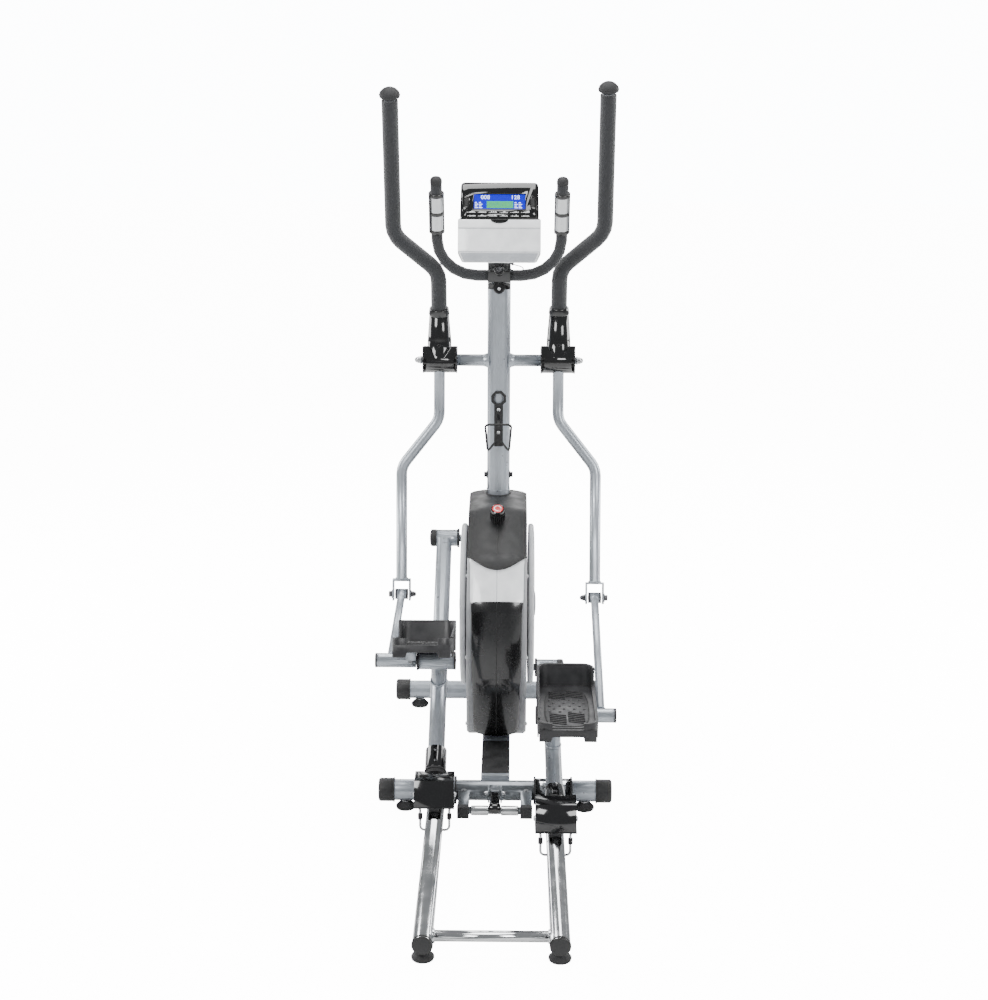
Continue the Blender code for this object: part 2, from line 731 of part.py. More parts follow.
def belt_line(proud):
    """The belt's run around both pulleys, standing proud of them."""
    span = Vector((FLYWHEEL_Y - CRANK_Y, FLYWHEEL_Z - CRANK_Z))
    heading = math.atan2(span.y, span.x)
    lean = math.acos((PULLEY_RADIUS - SMALL_PULLEY_RADIUS) / span.length)
    line = []
    for centre, radius, start, stop, steps in (
            ((CRANK_Y, CRANK_Z), PULLEY_RADIUS, lean, 2 * math.pi - lean, 26),
            ((FLYWHEEL_Y, FLYWHEEL_Z), SMALL_PULLEY_RADIUS, -lean, lean, 7)):
        for step in range(steps + 1):
            turn = heading + start + (stop - start) * step / steps
            line.append((centre[0] + (radius + proud) * math.cos(turn),
                         centre[1] + (radius + proud) * math.sin(turn)))
    return line


def casing_line():
    """The casing's side outline with its rounded corners."""
    return fillet(CASING_CORNERS, CASING_FILLET, 3, closed=True)


def inset(line, distance):
    """An outline moved inward, or outward where the distance is negative."""
    moved = []
    count = len(line)
    for index, point in enumerate(line):
        along = (line[(index + 1) % count] - line[index - 1]).normalized()
        moved.append(point + Vector((along.y, -along.x, 0)) * distance)
    return moved


def stretch(line, start, end):
    """The part of a path between two distances along it."""
    part = []
    travelled = 0.0
    for here, there in zip(line, line[1:]):
        length = (there - here).length
        for mark in (start, end):
            if travelled < mark <= travelled + length:
                part.append(here.lerp(there, (mark - travelled) / length))
        travelled += length
        if start < travelled < end:
            part.append(there)
    return part


def casing_half(name, side):
    """One side shell: a dish with its open side at the middle seam."""
    line = casing_line()
    rings = [(side * FIT, line), (side * (CASING_HALF - CASING_RIM), line),
             (side * CASING_HALF, inset(line, CASING_RIM)),
             (side * (CASING_HALF - CASING_WALL), inset(line, CASING_RIM + CASING_WALL)),
             (side * (CASING_HALF - CASING_RIM - CASING_WALL), inset(line, CASING_WALL)),
             (side * FIT, inset(line, CASING_WALL))]
    count = len(line)
    points = [Vector((x, point.x, point.y)) for x, border in rings for point in border]
    faces = []
    for ring in (0, 1, 3, 4, 5):
        after_ring = (ring + 1) % len(rings)
        for step in range(count):
            after = (step + 1) % count
            faces.append((ring * count + step, ring * count + after,
                          after_ring * count + after, after_ring * count + step))
    faces.append(tuple(range(2 * count, 3 * count)))
    faces.append(tuple(range(3 * count, 4 * count)))
    shell = solid(name, points, faces, "light grey")
    half = POST_SIZE / 2 + RUN / 2
    cut(shell,
        rod("hole", "X", (CRANK_Y, CRANK_Z), -2 * CASING_HALF, 2 * CASING_HALF, AXLE_RADIUS + RUN),
        box("notch", (-half, MAST_Y - half, 0), (half, MAST_Y + half, CRANK_Z)),
        rod("hole", "Z", (0, MAST_Y), POST_TOP, CROSSBAR_Z, MAST_RADIUS + RUN / 2, count=24))
    return shell


def casing_skin(name, start, end, half_start, half_end, finish, crown):
    """A crowned cover that lies on the casing's rim between two distances along its outline."""
    line = stretch(casing_line(), start, end)
    shares = (-1, -0.86, -0.5, 0, 0.5, 0.86, 1)
    points = []
    for layer in (1, 0):
        for index, point in enumerate(line):
            ahead = line[min(index + 1, len(line) - 1)]
            behind = line[max(index - 1, 0)]
            along = (ahead - behind).normalized()
            out = Vector((-along.y, along.x, 0))
            half = half_start + (half_end - half_start) * index / (len(line) - 1)
            for share in shares:
                height = SKIN_THICK + crown * (1 - share ** 4) if layer else 0
                place = point + out * (FIT + height)
                points.append(Vector((share * half, place.x, place.y)))
    across = len(shares)
    inner = across * len(line)
    faces = []
    for row in range(len(line) - 1):
        for column in range(across - 1):
            near = row * across + column
            faces.append((near, near + 1, near + across + 1, near + across))
            faces.append((inner + near, inner + near + across, inner + near + across + 1,
                          inner + near + 1))
        for column in (0, across - 1):
            near = row * across + column
            faces.append((near, near + across, inner + near + across, inner + near))
    for row in (0, len(line) - 1):
        for column in range(across - 1):
            near = row * across + column
            faces.append((near, near + 1, inner + near + 1, inner + near))
    return solid(name, points, faces, finish)


def casing():
    """Side shells, nose, pale panel, top cover and the tension knob."""
    for side, hand in ((-1, "left"), (1, "right")):
        casing_half(f"casing_{hand}", side)
    casing_skin("nose_cover", NOSE_START, NOSE_END, NOSE_TIP_HALF, NOSE_HALF, "black gloss", NOSE_CROWN)
    casing_skin("pale_panel", NOSE_END + FIT, PANEL_END, NOSE_HALF, PANEL_HALF, "pale", PANEL_CROWN)
    cover = casing_skin("top_cover", PANEL_END + FIT, COVER_END, COVER_HALF, COVER_HALF, "black",
                        COVER_CROWN)
    line = casing_line()
    here, ahead = stretch(line, KNOB_ALONG, KNOB_ALONG + 0.004)[:2]
    along = (ahead - here).normalized()
    out = Vector((0, -along.y, along.x))
    seat = Vector((0, here.x, here.y)) + out * (FIT + SKIN_THICK + COVER_CROWN)
    aim = Vector((0, 0, 1)).rotation_difference(out).to_matrix().to_4x4()
    hole = rod("hole", "Z", (0, 0), -KNOB_HEIGHT, KNOB_HEIGHT, KNOB_STEM + FIT, count=SMALL)
    cut(cover, reshape(hole, Matrix.Translation(seat) @ aim),
        rod("hole", "Z", (0, MAST_Y), POST_TOP, CROSSBAR_Z, MAST_RADIUS + RUN / 2, count=24))
    outline = [(0, -0.010), (KNOB_STEM, -0.010), (KNOB_STEM, 0.001), (KNOB_RADIUS - 0.002, 0.001),
               (KNOB_RADIUS, 0.004), (KNOB_RADIUS - 0.0015, KNOB_HEIGHT - 0.010),
               (KNOB_RADIUS - 0.003, KNOB_HEIGHT - 0.009), (KNOB_RADIUS - 0.0035, KNOB_HEIGHT - 0.002),
               (KNOB_RADIUS - 0.006, KNOB_HEIGHT), (0, KNOB_HEIGHT)]
    knob = turned("tension_knob", "Z", (0, 0), outline, 20, finish="black")
    reshape(knob, aim)
    carry(pivot("knob_seat", seat), knob)


# Mast and what it carries

def mast():
    """The upright pipe with its crossbar and the spindles of the two handles."""
    pipe = rod("mast", "Z", (0, MAST_Y), POST_TOP + FIT, MAST_TOP, MAST_RADIUS,
               MAST_RADIUS - MAST_WALL, 24, "silver")
    bar_end = ARM_INNER - FIT
    outline = [(0, -ARM_OUTER), (SPINDLE_RADIUS, -ARM_OUTER), (SPINDLE_RADIUS, -bar_end),
               (CROSSBAR_RADIUS, -bar_end), (CROSSBAR_RADIUS, bar_end), (SPINDLE_RADIUS, bar_end),
               (SPINDLE_RADIUS, ARM_OUTER), (0, ARM_OUTER)]
    return weld(pipe, turned("crossbar", "X", (MAST_Y, CROSSBAR_Z), outline, TUBE))


def bottle_cage():
    """A spine on the mast with a ring above and a wire loop that holds the bottle."""
    back = MAST_Y - MAST_RADIUS - FIT
    front = back - CAGE_THICK
    cage = box("bottle_cage", (-CAGE_SPINE_HALF, front, CAGE_FOOT_Z),
               (CAGE_SPINE_HALF, back, CAGE_RING_Z - CAGE_RING + 0.006), "black")
    inner = CAGE_RING - 0.007
    ring = turned("ring", "Y", (0, CAGE_RING_Z), [(inner, front), (CAGE_RING, front),
                                                  (CAGE_RING, back), (inner, back)], 8, ring=True)
    turn = Matrix.Translation((0, 0, CAGE_RING_Z)) @ Matrix.Rotation(math.pi / 8, 4, "Y")
    reshape(ring, turn @ Matrix.Translation((0, 0, -CAGE_RING_Z)))
    middle = front + CAGE_THICK / 2
    half = [(0.006, middle, CAGE_FOOT_Z + 0.014), (0.028, front - 0.018, CAGE_FOOT_Z - 0.010),
            (0.034, front - 0.066, CAGE_FOOT_Z + 0.072)]
    corners = [(-x, y, z) for x, y, z in half] + half[::-1]
    loop = sweep("loop", fillet(corners, 0.008, 2), circle(CAGE_ROD, 8))
    return weld(cage, ring, loop)


def bar_path():
    """The pulse bar's U, up one leg, under the console and up the other."""
    tip = BAR_HIGH - BAR_LOW
    corners = [BAR_LOW + tip + Vector((-BAR_HALF, 0, 0)), BAR_LOW + Vector((-BAR_HALF, 0, 0)),
               BAR_LOW + Vector((BAR_HALF, 0, 0)), BAR_LOW + tip + Vector((BAR_HALF, 0, 0))]
    return fillet(corners, BAR_FILLET, 5)


def pulse_bar():
    """The fixed foam bar, its two sensor sleeves and its clamp on the mast."""
    sweep("pulse_bar", bar_path(), circle(BAR_RADIUS), finish="foam")
    leg = (BAR_LOW - BAR_HIGH).normalized()
    for side, hand in ((-1, "left"), (1, "right")):
        top = BAR_HIGH + leg * SENSOR_LOW * 0.55 + Vector((side * BAR_HALF, 0, 0))
        sweep(f"pulse_sensor_{hand}", [top, top + leg * SENSOR_LENGTH], circle(BAR_RADIUS + 0.0035),
              circle(BAR_RADIUS + FIT), "chrome")
    back = MAST_Y - MAST_RADIUS - FIT
    nose = BAR_LOW.y - BAR_RADIUS - CLAMP_WALL
    outline = [(back, CLAMP_LOW), (back, CLAMP_HIGH), (nose + 0.017, CLAMP_HIGH),
               (nose, CLAMP_HIGH - 0.020), (nose + 0.004, BAR_LOW.z - BAR_RADIUS),
               (nose + 0.021, BAR_LOW.z - 0.022), (nose + 0.025, CLAMP_LOW)]
    clamp = prism("bar_clamp", "X", outline, -CLAMP_HALF, CLAMP_HALF, finish="black gloss")
    cut(clamp, rod("bore", "X", BAR_LOW.yz, -BAR_HALF, BAR_HALF, BAR_RADIUS + FIT))


def console():
    """The display unit: back shell, black bezel, screen and two keys, leaning back on the mast."""
    lean = Matrix.Translation(CONSOLE_PLACE) @ Matrix.Rotation(CONSOLE_LEAN, 4, "X")
    seat = BEZEL_THICK + FIT
    step = BEZEL_LOW - CONSOLE_STEP
    side_view = [(CONSOLE_DEEP, CONSOLE_BEVEL), (0.014, 0), (0.004, 0.026), (0, step - STEP_PROUD),
                 (-STEP_PROUD, step), (-STEP_PROUD, BEZEL_LOW - FIT), (seat, BEZEL_LOW - FIT),
                 (seat, CONSOLE_TALL), (CONSOLE_DEEP - CONSOLE_BEVEL, CONSOLE_TALL),
                 (CONSOLE_DEEP, CONSOLE_TALL - 2 * CONSOLE_BEVEL)]
    body = prism("console_body", "X", side_view, -CONSOLE_HALF, CONSOLE_HALF, finish="pale")
    top = BEZEL_HALF - 0.001
    face = [(CONSOLE_HALF - 0.014, 0), (CONSOLE_HALF, 0.030), (CONSOLE_HALF, BEZEL_LOW + 0.004),
            (top, BEZEL_LOW + 0.006), (top - 0.001, CONSOLE_TALL)]
    face = face + [(-x, z) for x, z in reversed(face)]
    outline = flat(fillet(face, CONSOLE_CORNER, 3, closed=True))
    combine(body, [prism("face", "Y", outline, -CONSOLE_DEEP, 2 * CONSOLE_DEEP)], "INTERSECT")
    boss = box("boss", (-BOSS_HALF, MAST_Y - BOSS_REACH, MAST_TOP + FIT),
               (BOSS_HALF, MAST_Y + BOSS_HALF, MAST_TOP + BOSS_TALL))
    weld(body, reshape(boss, lean.inverted()))
    rim = [(BEZEL_HALF, BEZEL_LOW), (BEZEL_HALF - 0.002, CONSOLE_TALL)]
    rim = [(-x, z) for x, z in reversed(rim)] + rim
    bezel = prism("console_bezel", "Y", flat(fillet(rim, CONSOLE_CORNER, 3, closed=True)), 0,
                  BEZEL_THICK, finish="black gloss")
    window = box("window", (-SCREEN_HALF - FIT, -BEZEL_THICK, SCREEN_LOW - FIT),
                 (SCREEN_HALF + FIT, SCREEN_BACK, SCREEN_HIGH + FIT))
    cut(bezel, window)
    screen = box("console_screen", (-SCREEN_HALF, SCREEN_FACE, SCREEN_LOW),
                 (SCREEN_HALF, SCREEN_BACK - FIT, SCREEN_HIGH), "screen")
    holder = pivot("console_lean", CONSOLE_PLACE, CONSOLE_LEAN)
    for side, hand in ((-1, "left"), (1, "right")):
        low = KEY_Z - KEY_TALL / 2
        centre = (side * KEY_X, 0, KEY_Z)
        slot = box("slot", (side * KEY_X - KEY_HALF - FIT, -BEZEL_THICK, low - FIT),
                   (side * KEY_X + KEY_HALF + FIT, KEY_BACK + KEY_TRAVEL, low + KEY_TALL + FIT))
        cut(bezel, slot)
        key = box(f"console_key_{hand}", (-KEY_HALF, -KEY_PROUD, -KEY_TALL / 2),
                  (KEY_HALF, KEY_BACK, KEY_TALL / 2), "black")
        key.location = centre
        carry(holder, key)
    carry(holder, body, bezel, screen)


def pulse_wire():
    """The thin sensor wire from the console's underside to the bar clamp."""
    route = [Vector((x, y, z)) for x, y, z in (
        (0.034, 0.497, 1.2630), (0.043, 0.495, 1.2600), (0.054, 0.496, 1.2570), (0.061, 0.502, 1.2510),
        (0.057, 0.509, 1.2430), (0.047, 0.512, 1.2390), (0.037, 0.513, 1.2420), (0.0295, 0.520, 1.2470))]
    points = []
    padded = [2 * route[0] - route[1]] + route + [2 * route[-1] - route[-2]]
    for a, b, c, d in zip(padded, padded[1:], padded[2:], padded[3:]):
        for step in range(3):
            t = step / 3
            points.append(0.5 * (2 * b + (c - a) * t + (2 * a - 5 * b + 4 * c - d) * t ** 2
                                 + (3 * b - 3 * c + d - a) * t ** 3))
    points.append(route[-1])
    line = bpy.data.curves.new("pulse_wire", "CURVE")
    line.dimensions = "3D"
    line.bevel_depth = 0.0013
    line.bevel_resolution = 2
    line.use_fill_caps = True
    spline = line.splines.new("POLY")
    spline.points.add(len(points) - 1)
    for item, point in zip(spline.points, points):
        item.co = (*point, 1)
    wire = bpy.data.objects.new("pulse_wire", line)
    bpy.context.collection.objects.link(wire)
    paint(wire, "rubber")


# Pedal linkage

def carriage(name):
    """The shroud over a roller with its axle and the hoop that keeps the roller on the rail."""
    skirt = -SHROUD_SKIRT
    outer = [(-SHROUD_REACH, skirt), (-SHROUD_REACH, 0.018), (-0.030, SHROUD_TOP - SHROUD_WALL),
             (0.022, SHROUD_TOP), (0.043, 0.030), (SHROUD_REACH - SHROUD_WALL, skirt)]
    inner = [(-SHROUD_REACH + SHROUD_WALL, skirt - RUN), (-SHROUD_REACH + SHROUD_WALL, 0.017),
             (-0.0285, SHROUD_TOP - 2 * SHROUD_WALL), (0.021, SHROUD_TOP - SHROUD_WALL),
             (0.040, 0.0285), (SHROUD_REACH - 2 * SHROUD_WALL, skirt - RUN)]
    wall = SHROUD_HALF - SHROUD_WALL
    slot_half = TUBE_RADIUS + 3 * RUN
    shroud = prism(name, "X", outer, -SHROUD_HALF, SHROUD_HALF, finish="black gloss")
    cut(shroud, prism("inside", "X", inner, -wall, wall),
        box("slot", (-slot_half, SLOT_START, -SHROUD_REACH), (slot_half, 2 * SHROUD_REACH, 2 * SHROUD_TOP)))
    low = (RAIL_Z - RAIL_RADIUS) - ROLLER_Z - RUN - 2 * HOOP_RADIUS
    top = wall + SHROUD_WALL / 2
    half = [(top, 0, HOOP_TOP), (top, 0, -0.012), (HOOP_LEG, 0, -0.040), (HOOP_LEG, 0, low)]
    corners = [(-x, y, z) for x, y, z in half] + half[::-1]
    hoop = sweep("hoop", fillet(corners, 0.010, 3), circle(HOOP_RADIUS, 8))
    return weld(shroud, rod("axle", "X", (0, 0), -top, top, ROLLER_PIN, count=SMALL), hoop)


def roller(name):
    """A waisted roller whose waist fits the rail."""
    bore = ROLLER_PIN + FIT
    rise = ROLLER_Z - RAIL_Z
    waist = []
    for step in range(-3, 4):
        x = step / 3 * (ROLLER_HALF - 0.001)
        waist.append((rise - math.sqrt((RAIL_RADIUS + FIT) ** 2 - x * x), x))
    outline = [(bore, -ROLLER_HALF), (ROLLER_RIM, -ROLLER_HALF)] + waist
    outline += [(ROLLER_RIM, ROLLER_HALF), (bore, ROLLER_HALF)]
    return turned(name, "X", (0, 0), outline, 24, ring=True, finish="rubber")


def pedal_tube(name, side):
    """One pedal tube: fork at the roller, tube, pedal hub on its post, and the crank-pin hub."""
    near = ROLLER_HALF + 0.0015
    block = ROLLER_RIM + RUN
    tube = rod(name, "Y", (0, 0), block + 0.022, TUBE_LENGTH - 0.008, TUBE_RADIUS, finish="silver")
    bridge = box("bridge", (-near - YOKE_THICK, block, -0.013), (near + YOKE_THICK, block + 0.034, 0.013))
    sleeve = rod("sleeve", "Y", (0, 0), block + 0.024, block + 0.075, TUBE_RADIUS + 0.0025)
    weld(tube, sleeve, bridge)
    for hand in (-1, 1):
        low, high = between(hand, near, near + YOKE_THICK)
        weld(tube, box("fork", (low, -0.012, -0.0125), (high, block + 0.010, 0.0125)))
    cut(tube, rod("bore", "X", (0, 0), -SHROUD_HALF, SHROUD_HALF, ROLLER_PIN + FIT))
    post = rod("post", "Z", (0, HUB_ALONG), 0, HUB_ABOVE, TUBE_RADIUS - 0.003, count=SMALL)
    low, high = between(side, HUB_INNER - RAIL_X, HUB_OUTER - RAIL_X)
    hub = rod("hub", "X", (HUB_ALONG, HUB_ABOVE), low, high, HUB_RADIUS, count=20)
    pin_face = DISC_INNER + DISC_THICK + RUN
    outline = [(0, pin_face), (PIN_RADIUS, pin_face), (PIN_RADIUS, PIN_HUB_INNER - 0.004),
               (HUB_RADIUS + 0.002, PIN_HUB_INNER - 0.004), (HUB_RADIUS + 0.002, PIN_HUB_INNER),
               (HUB_RADIUS, PIN_HUB_INNER), (HUB_RADIUS, PIN_HUB_OUTER), (0, PIN_HUB_OUTER)]
    outline = [(radius, side * (along - RAIL_X)) for radius, along in outline]
    weld(tube, post, hub, turned("pin_hub", "X", (TUBE_LENGTH, 0), outline, 20))
    return cut(tube, rod("bore", "X", (HUB_ALONG, HUB_ABOVE), low - 0.01, high + 0.01, AXLE_RADIUS + FIT))


def link_rod(name, side):
    """The pedal's cross tube with its spindle, and the rod that reaches forward to the arm."""
    inner = HUB_INNER - RUN
    start = HUB_OUTER + RUN
    outline = [(0, inner), (AXLE_RADIUS, inner), (AXLE_RADIUS, start), (CROSS_TUBE_RADIUS, start),
               (CROSS_TUBE_RADIUS, CROSS_TUBE_END), (0, CROSS_TUBE_END)]
    tube = turned(name, "X", (0, 0), [(radius, side * along) for radius, along in outline], TUBE,
                  finish="silver")
    low, high = between(side, start, start + 0.024)
    lug = box("lug", (low, -0.028, 0), (high, 0.028, PEDAL_RISE - FIT))
    reshape(lug, Matrix.Rotation(PEDAL_DROOP, 4, "X"))
    shaft = rod("shaft", "Y", (side * LINK_X, 0), 0, LINK_LENGTH - 0.004, LINK_RADIUS, count=SMALL)
    stub = 0.005
    reach = STRAP_HALF - STRAP_THICK - RUN
    outline = [(0, -reach), (stub, -reach), (stub, -EYE_HALF), (EYE_RADIUS, -EYE_HALF),
               (EYE_RADIUS, EYE_HALF), (stub, EYE_HALF), (stub, reach), (0, reach)]
    eye = turned("eye", "X", (LINK_LENGTH, 0), outline, TUBE)
    reshape(eye, Matrix.Translation((side * LINK_X, 0, 0)))
    return weld(tube, lug, shaft, eye)


def pedal(name, side):
    """A foot plate with a toe wall, side guards and a notched rear lip."""
    plan = [(PEDAL_OUTER, -PEDAL_BACK), (PEDAL_INNER, -PEDAL_BACK), (PEDAL_INNER, PEDAL_FRONT),
            (PEDAL_OUTER, PEDAL_FRONT)]
    plan = fillet(plan, PEDAL_CORNER, 4, closed=True)
    low = PEDAL_RISE
    floor = low + PEDAL_THICK
    plate = prism(name, "Z", flat(plan), low, floor + TOE_HEIGHT, finish="black")
    top = floor + 2 * TOE_HEIGHT
    cut(plate, prism("hollow", "Z", flat(inset(plan, GUARD_WALL)), floor, top))
    behind = -PEDAL_BACK - GUARD_WALL
    toe_back = PEDAL_FRONT - TOE_REACH
    trim = [(behind, floor + LIP_HEIGHT), (-PEDAL_BACK + PEDAL_CORNER, floor + LIP_HEIGHT),
            (GUARD_PEAK, floor + GUARD_HEIGHT), (toe_back, floor + TOE_HEIGHT), (toe_back, top),
            (behind, top)]
    middle = (PEDAL_INNER + PEDAL_OUTER) / 2
    notch_low = (middle - NOTCH_HALF, behind, floor - NOTCH_SINK)
    notch_high = (middle + NOTCH_HALF, -PEDAL_BACK + NOTCH_REACH, top)
    outer_low = (middle, behind, floor + LIP_HEIGHT)
    outer_high = (PEDAL_OUTER + GUARD_WALL, PEDAL_FRONT - OUTER_REACH, top)
    cut(plate, prism("trim", "X", trim, 0, 2 * PEDAL_OUTER), box("notch", notch_low, notch_high),
        box("outer trim", outer_low, outer_high))
    if side < 0:
        plate.data.transform(Matrix.Scale(-1, 4, Vector((1, 0, 0))))
        plate.data.flip_normals()
    return reshape(plate, Matrix.Rotation(PEDAL_DROOP, 4, "X"))


def pedal_side(side, hand):
    """One side's roller carriage, pedal tube, link rod and pedal, in their places at rest."""
    stand = linkage(0 if side < 0 else math.pi)
    rail = pivot(f"carriage_{hand}_place", (side * RAIL_X, stand["roller_y"], ROLLER_Z))
    carry(rail, carriage(f"carriage_{hand}"), roller(f"roller_{hand}"))
    tube = pivot(f"tube_{hand}_hinge", (0, 0, 0), stand["pitch"], rail)
    carry(tube, pedal_tube(f"pedal_tube_{hand}", side))
    hub = pivot(f"pedal_{hand}_hinge", (-side * RAIL_X, HUB_ALONG, HUB_ABOVE),
                stand["link"] - stand["pitch"], tube)
    carry(hub, link_rod(f"link_rod_{hand}", side), pedal(f"pedal_{hand}", side))


# Swinging handles

def handle_path(side):
    """The upper handle tube, from the spindle up and outward to the hand."""
    heights = ((ARM_LEG_X, 0.0), (ARM_LEG_X, ARM_LEAN_START), (ARM_LEG_X, 0.228), (ARM_TOP_X, 0.318),
               (ARM_TOP_X, ARM_TOP))
    corners = [(side * x, -ARM_LEAN * max(z - ARM_LEAN_START, 0), z) for x, z in heights]
    return fillet(corners, 0.060, 3)


def swing_arm(name, side):
    """The steel arm: spindle barrel, upper tube, cranked lower tube and strap clevis."""
    low, high = between(side, ARM_INNER, ARM_OUTER - 0.004)
    arm = rod(name, "X", (0, 0), low, high, ARM_BARREL, count=20, finish="silver")
    foot = -ARM_RADIUS + STRAP_TALL - 0.020
    leg = [(side * ARM_LEG_X, 0, 0), (side * ARM_LEG_X, 0, -0.155), (side * LINK_X, 0, -0.280),
           (side * LINK_X, 0, foot)]
    upper = sweep("upper", handle_path(side), circle(ARM_TUBE, SMALL))
    weld(arm, sweep("leg", fillet(leg, 0.055, 3), circle(ARM_TUBE, SMALL)), upper)
    half = STRAP_HALF
    bottom = -ARM_RADIUS - 0.016
    strap = box("strap", (side * LINK_X - half, -0.014, bottom),
                (side * LINK_X + half, 0.014, bottom + STRAP_TALL))
    gap = half - STRAP_THICK
    space = box("space", (side * LINK_X - gap, -0.02, bottom - 0.01),
                (side * LINK_X + gap, 0.02, bottom + STRAP_TALL - STRAP_THICK))
    weld(arm, cut(strap, space))
    return cut(arm, rod("bore", "X", (0, 0), low - 0.01, high + 0.01, SPINDLE_RADIUS + FIT))


def arm_cover(name, side):
    """The plastic cover over a spindle barrel, with its tapered neck around the upper tube."""
    low, high = between(side, ARM_INNER, ARM_OUTER - 0.004)
    cover = rod(name, "X", (0, 0), low, high, COVER_BARREL, count=24, finish="black gloss")
    neck = neck_cone(side, 0.031, 0.0245, GRIP_START - 0.004)
    weld(cover, neck)
    channel = sweep("channel", stretch(handle_path(side), 0.001, GRIP_START + 0.040),
                    circle(ARM_TUBE + FIT, SMALL))
    leg = rod("leg", "Z", (side * ARM_LEG_X, 0), -0.1, 0.007, ARM_TUBE + FIT, count=SMALL)
    barrel = rod("barrel", "X", (0, 0), low - 0.01, high + 0.01, ARM_BARREL + FIT, count=20)
    return cut(cover, channel, leg, barrel)


def neck_cone(side, wide, narrow, top):
    """A tapered neck whose upper end is square to the leaning handle."""
    count = 20
    turn = math.atan(ARM_LEAN)
    points = []
    for radius, height, tilt in ((wide, 0, 0), (wide, ARM_LEAN_START, 0), (narrow, top, turn)):
        back = ARM_LEAN * (height - ARM_LEAN_START) if tilt else 0
        for a, b in circle(radius, count):
            points.append((side * ARM_LEG_X + a, b * math.cos(tilt) - back, height + b * math.sin(tilt)))
    faces = [tuple(range(count)), tuple(range(2 * count, 3 * count))]
    for ring in (0, count):
        for step in range(count):
            after = (step + 1) % count
            faces.append((ring + step, ring + after, ring + count + after, ring + count + step))
    return solid("neck", points, faces)


def hand_grip(name, side):
    """The foam sleeve over the upper tube."""
    path = handle_path(side)
    length = sum((b - a).length for a, b in zip(path, path[1:]))
    run = stretch(path, GRIP_START + 0.006, length - 0.004)
    return sweep(name, run, circle(GRIP_RADIUS, 14), circle(ARM_TUBE + 2 * FIT, 14), "foam")


def grip_cap(name, side):
    """The mushroom cap at the top of a handle."""
    path = handle_path(side)
    aim = Vector((0, 0, 1)).rotation_difference((path[-1] - path[-2]).normalized())
    outline = [(0, FIT), (0.020, FIT), (CAP_RADIUS - 0.002, 0.003), (CAP_RADIUS, 0.009),
               (CAP_RADIUS - 0.003, 0.017), (CAP_RADIUS - 0.010, 0.024), (0.008, 0.028), (0, 0.029)]
    cap = turned(name, "Z", (0, 0), outline, 20, finish="rubber")
    return reshape(cap, Matrix.Translation(path[-1]) @ aim.to_matrix().to_4x4())


def handle_side(side, hand):
    """One swinging handle in its place at rest."""
    stand = linkage(0 if side < 0 else math.pi)
    hinge = pivot(f"arm_{hand}_hinge", (0, MAST_Y, CROSSBAR_Z), stand["arm"])
    carry(hinge, swing_arm(f"swing_arm_{hand}", side), arm_cover(f"arm_cover_{hand}", side),
          hand_grip(f"hand_grip_{hand}", side), grip_cap(f"grip_cap_{hand}", side))


def build():
    """Make the whole machine."""
    clear_scene()
    floor_frame()
    mast()
    bottle_cage()
    pulse_bar()
    console()
    pulse_wire()
    crank_drive()
    casing()
    for side, hand in ((-1, "left"), (1, "right")):
        pedal_side(side, hand)
        handle_side(side, hand)
    smooth_all()


build()
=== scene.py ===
"""Looks of the elliptical trainer: finishes for every steel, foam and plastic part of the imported
frame, and the small fittings that sit on them. Metres, X to the user's right, +Y the way the user
faces, Z up from the floor."""

import json
import math

import bpy
from mathutils import Matrix, Vector


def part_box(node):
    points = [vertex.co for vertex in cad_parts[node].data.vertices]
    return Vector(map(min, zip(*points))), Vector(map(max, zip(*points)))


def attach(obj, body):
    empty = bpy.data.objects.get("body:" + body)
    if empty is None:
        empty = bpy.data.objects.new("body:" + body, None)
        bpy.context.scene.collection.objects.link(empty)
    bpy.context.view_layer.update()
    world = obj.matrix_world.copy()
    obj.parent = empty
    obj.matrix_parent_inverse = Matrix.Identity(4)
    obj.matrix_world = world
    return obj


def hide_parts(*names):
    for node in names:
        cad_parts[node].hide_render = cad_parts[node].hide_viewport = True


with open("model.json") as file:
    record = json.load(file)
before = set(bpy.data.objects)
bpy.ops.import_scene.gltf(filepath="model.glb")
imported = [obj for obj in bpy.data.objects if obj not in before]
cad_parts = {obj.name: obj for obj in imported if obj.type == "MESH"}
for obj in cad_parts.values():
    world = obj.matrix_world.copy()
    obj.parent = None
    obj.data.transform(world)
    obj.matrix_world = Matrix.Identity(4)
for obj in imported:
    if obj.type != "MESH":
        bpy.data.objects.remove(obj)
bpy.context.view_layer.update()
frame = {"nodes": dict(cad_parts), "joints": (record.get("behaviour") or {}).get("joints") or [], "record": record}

# Linkage lengths, as in the frame
HUB_ALONG = 0.313        # pedal hub from the roller axle, along the pedal tube
HUB_ABOVE = 0.101
TUBE_LENGTH = 0.787      # roller axle to crank pin
LINK_LENGTH = 0.460
ARM_RADIUS = 0.618       # handle pivot to the lower end of the arm
ARM_LEAN = 0.443         # backward lean of a handle for each metre up
ARM_LEAN_START = 0.050
LINK_X = 0.2535
ARM_LEG_X = 0.155
PEDAL_DROOP = math.radians(-21)

# Camera
LENS = 66.835
CAMERA_PLACE = Vector((0.0338, -4.193, 1.847))
CAMERA_PITCH = math.radians(75.652)
CAMERA_YAW = math.radians(0.54)
CAMERA_ROLL = math.radians(0.247)

HANDS = ((-1, "left"), (1, "right"))
FULL_TURN = 2 * math.pi
RIGHT = Vector((1, 0, 0))
AHEAD = Vector((0, 1, 0))
UP = Vector((0, 0, 1))


# Where things are

def middle(node):
    """Centre of a node's box."""
    low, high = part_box(node)
    return (low + high) / 2


def hinge(name):
    """Point on a joint's axis."""
    found = [joint for joint in frame["joints"] if joint["name"] == name]
    return Vector(found[0]["pos_m"])


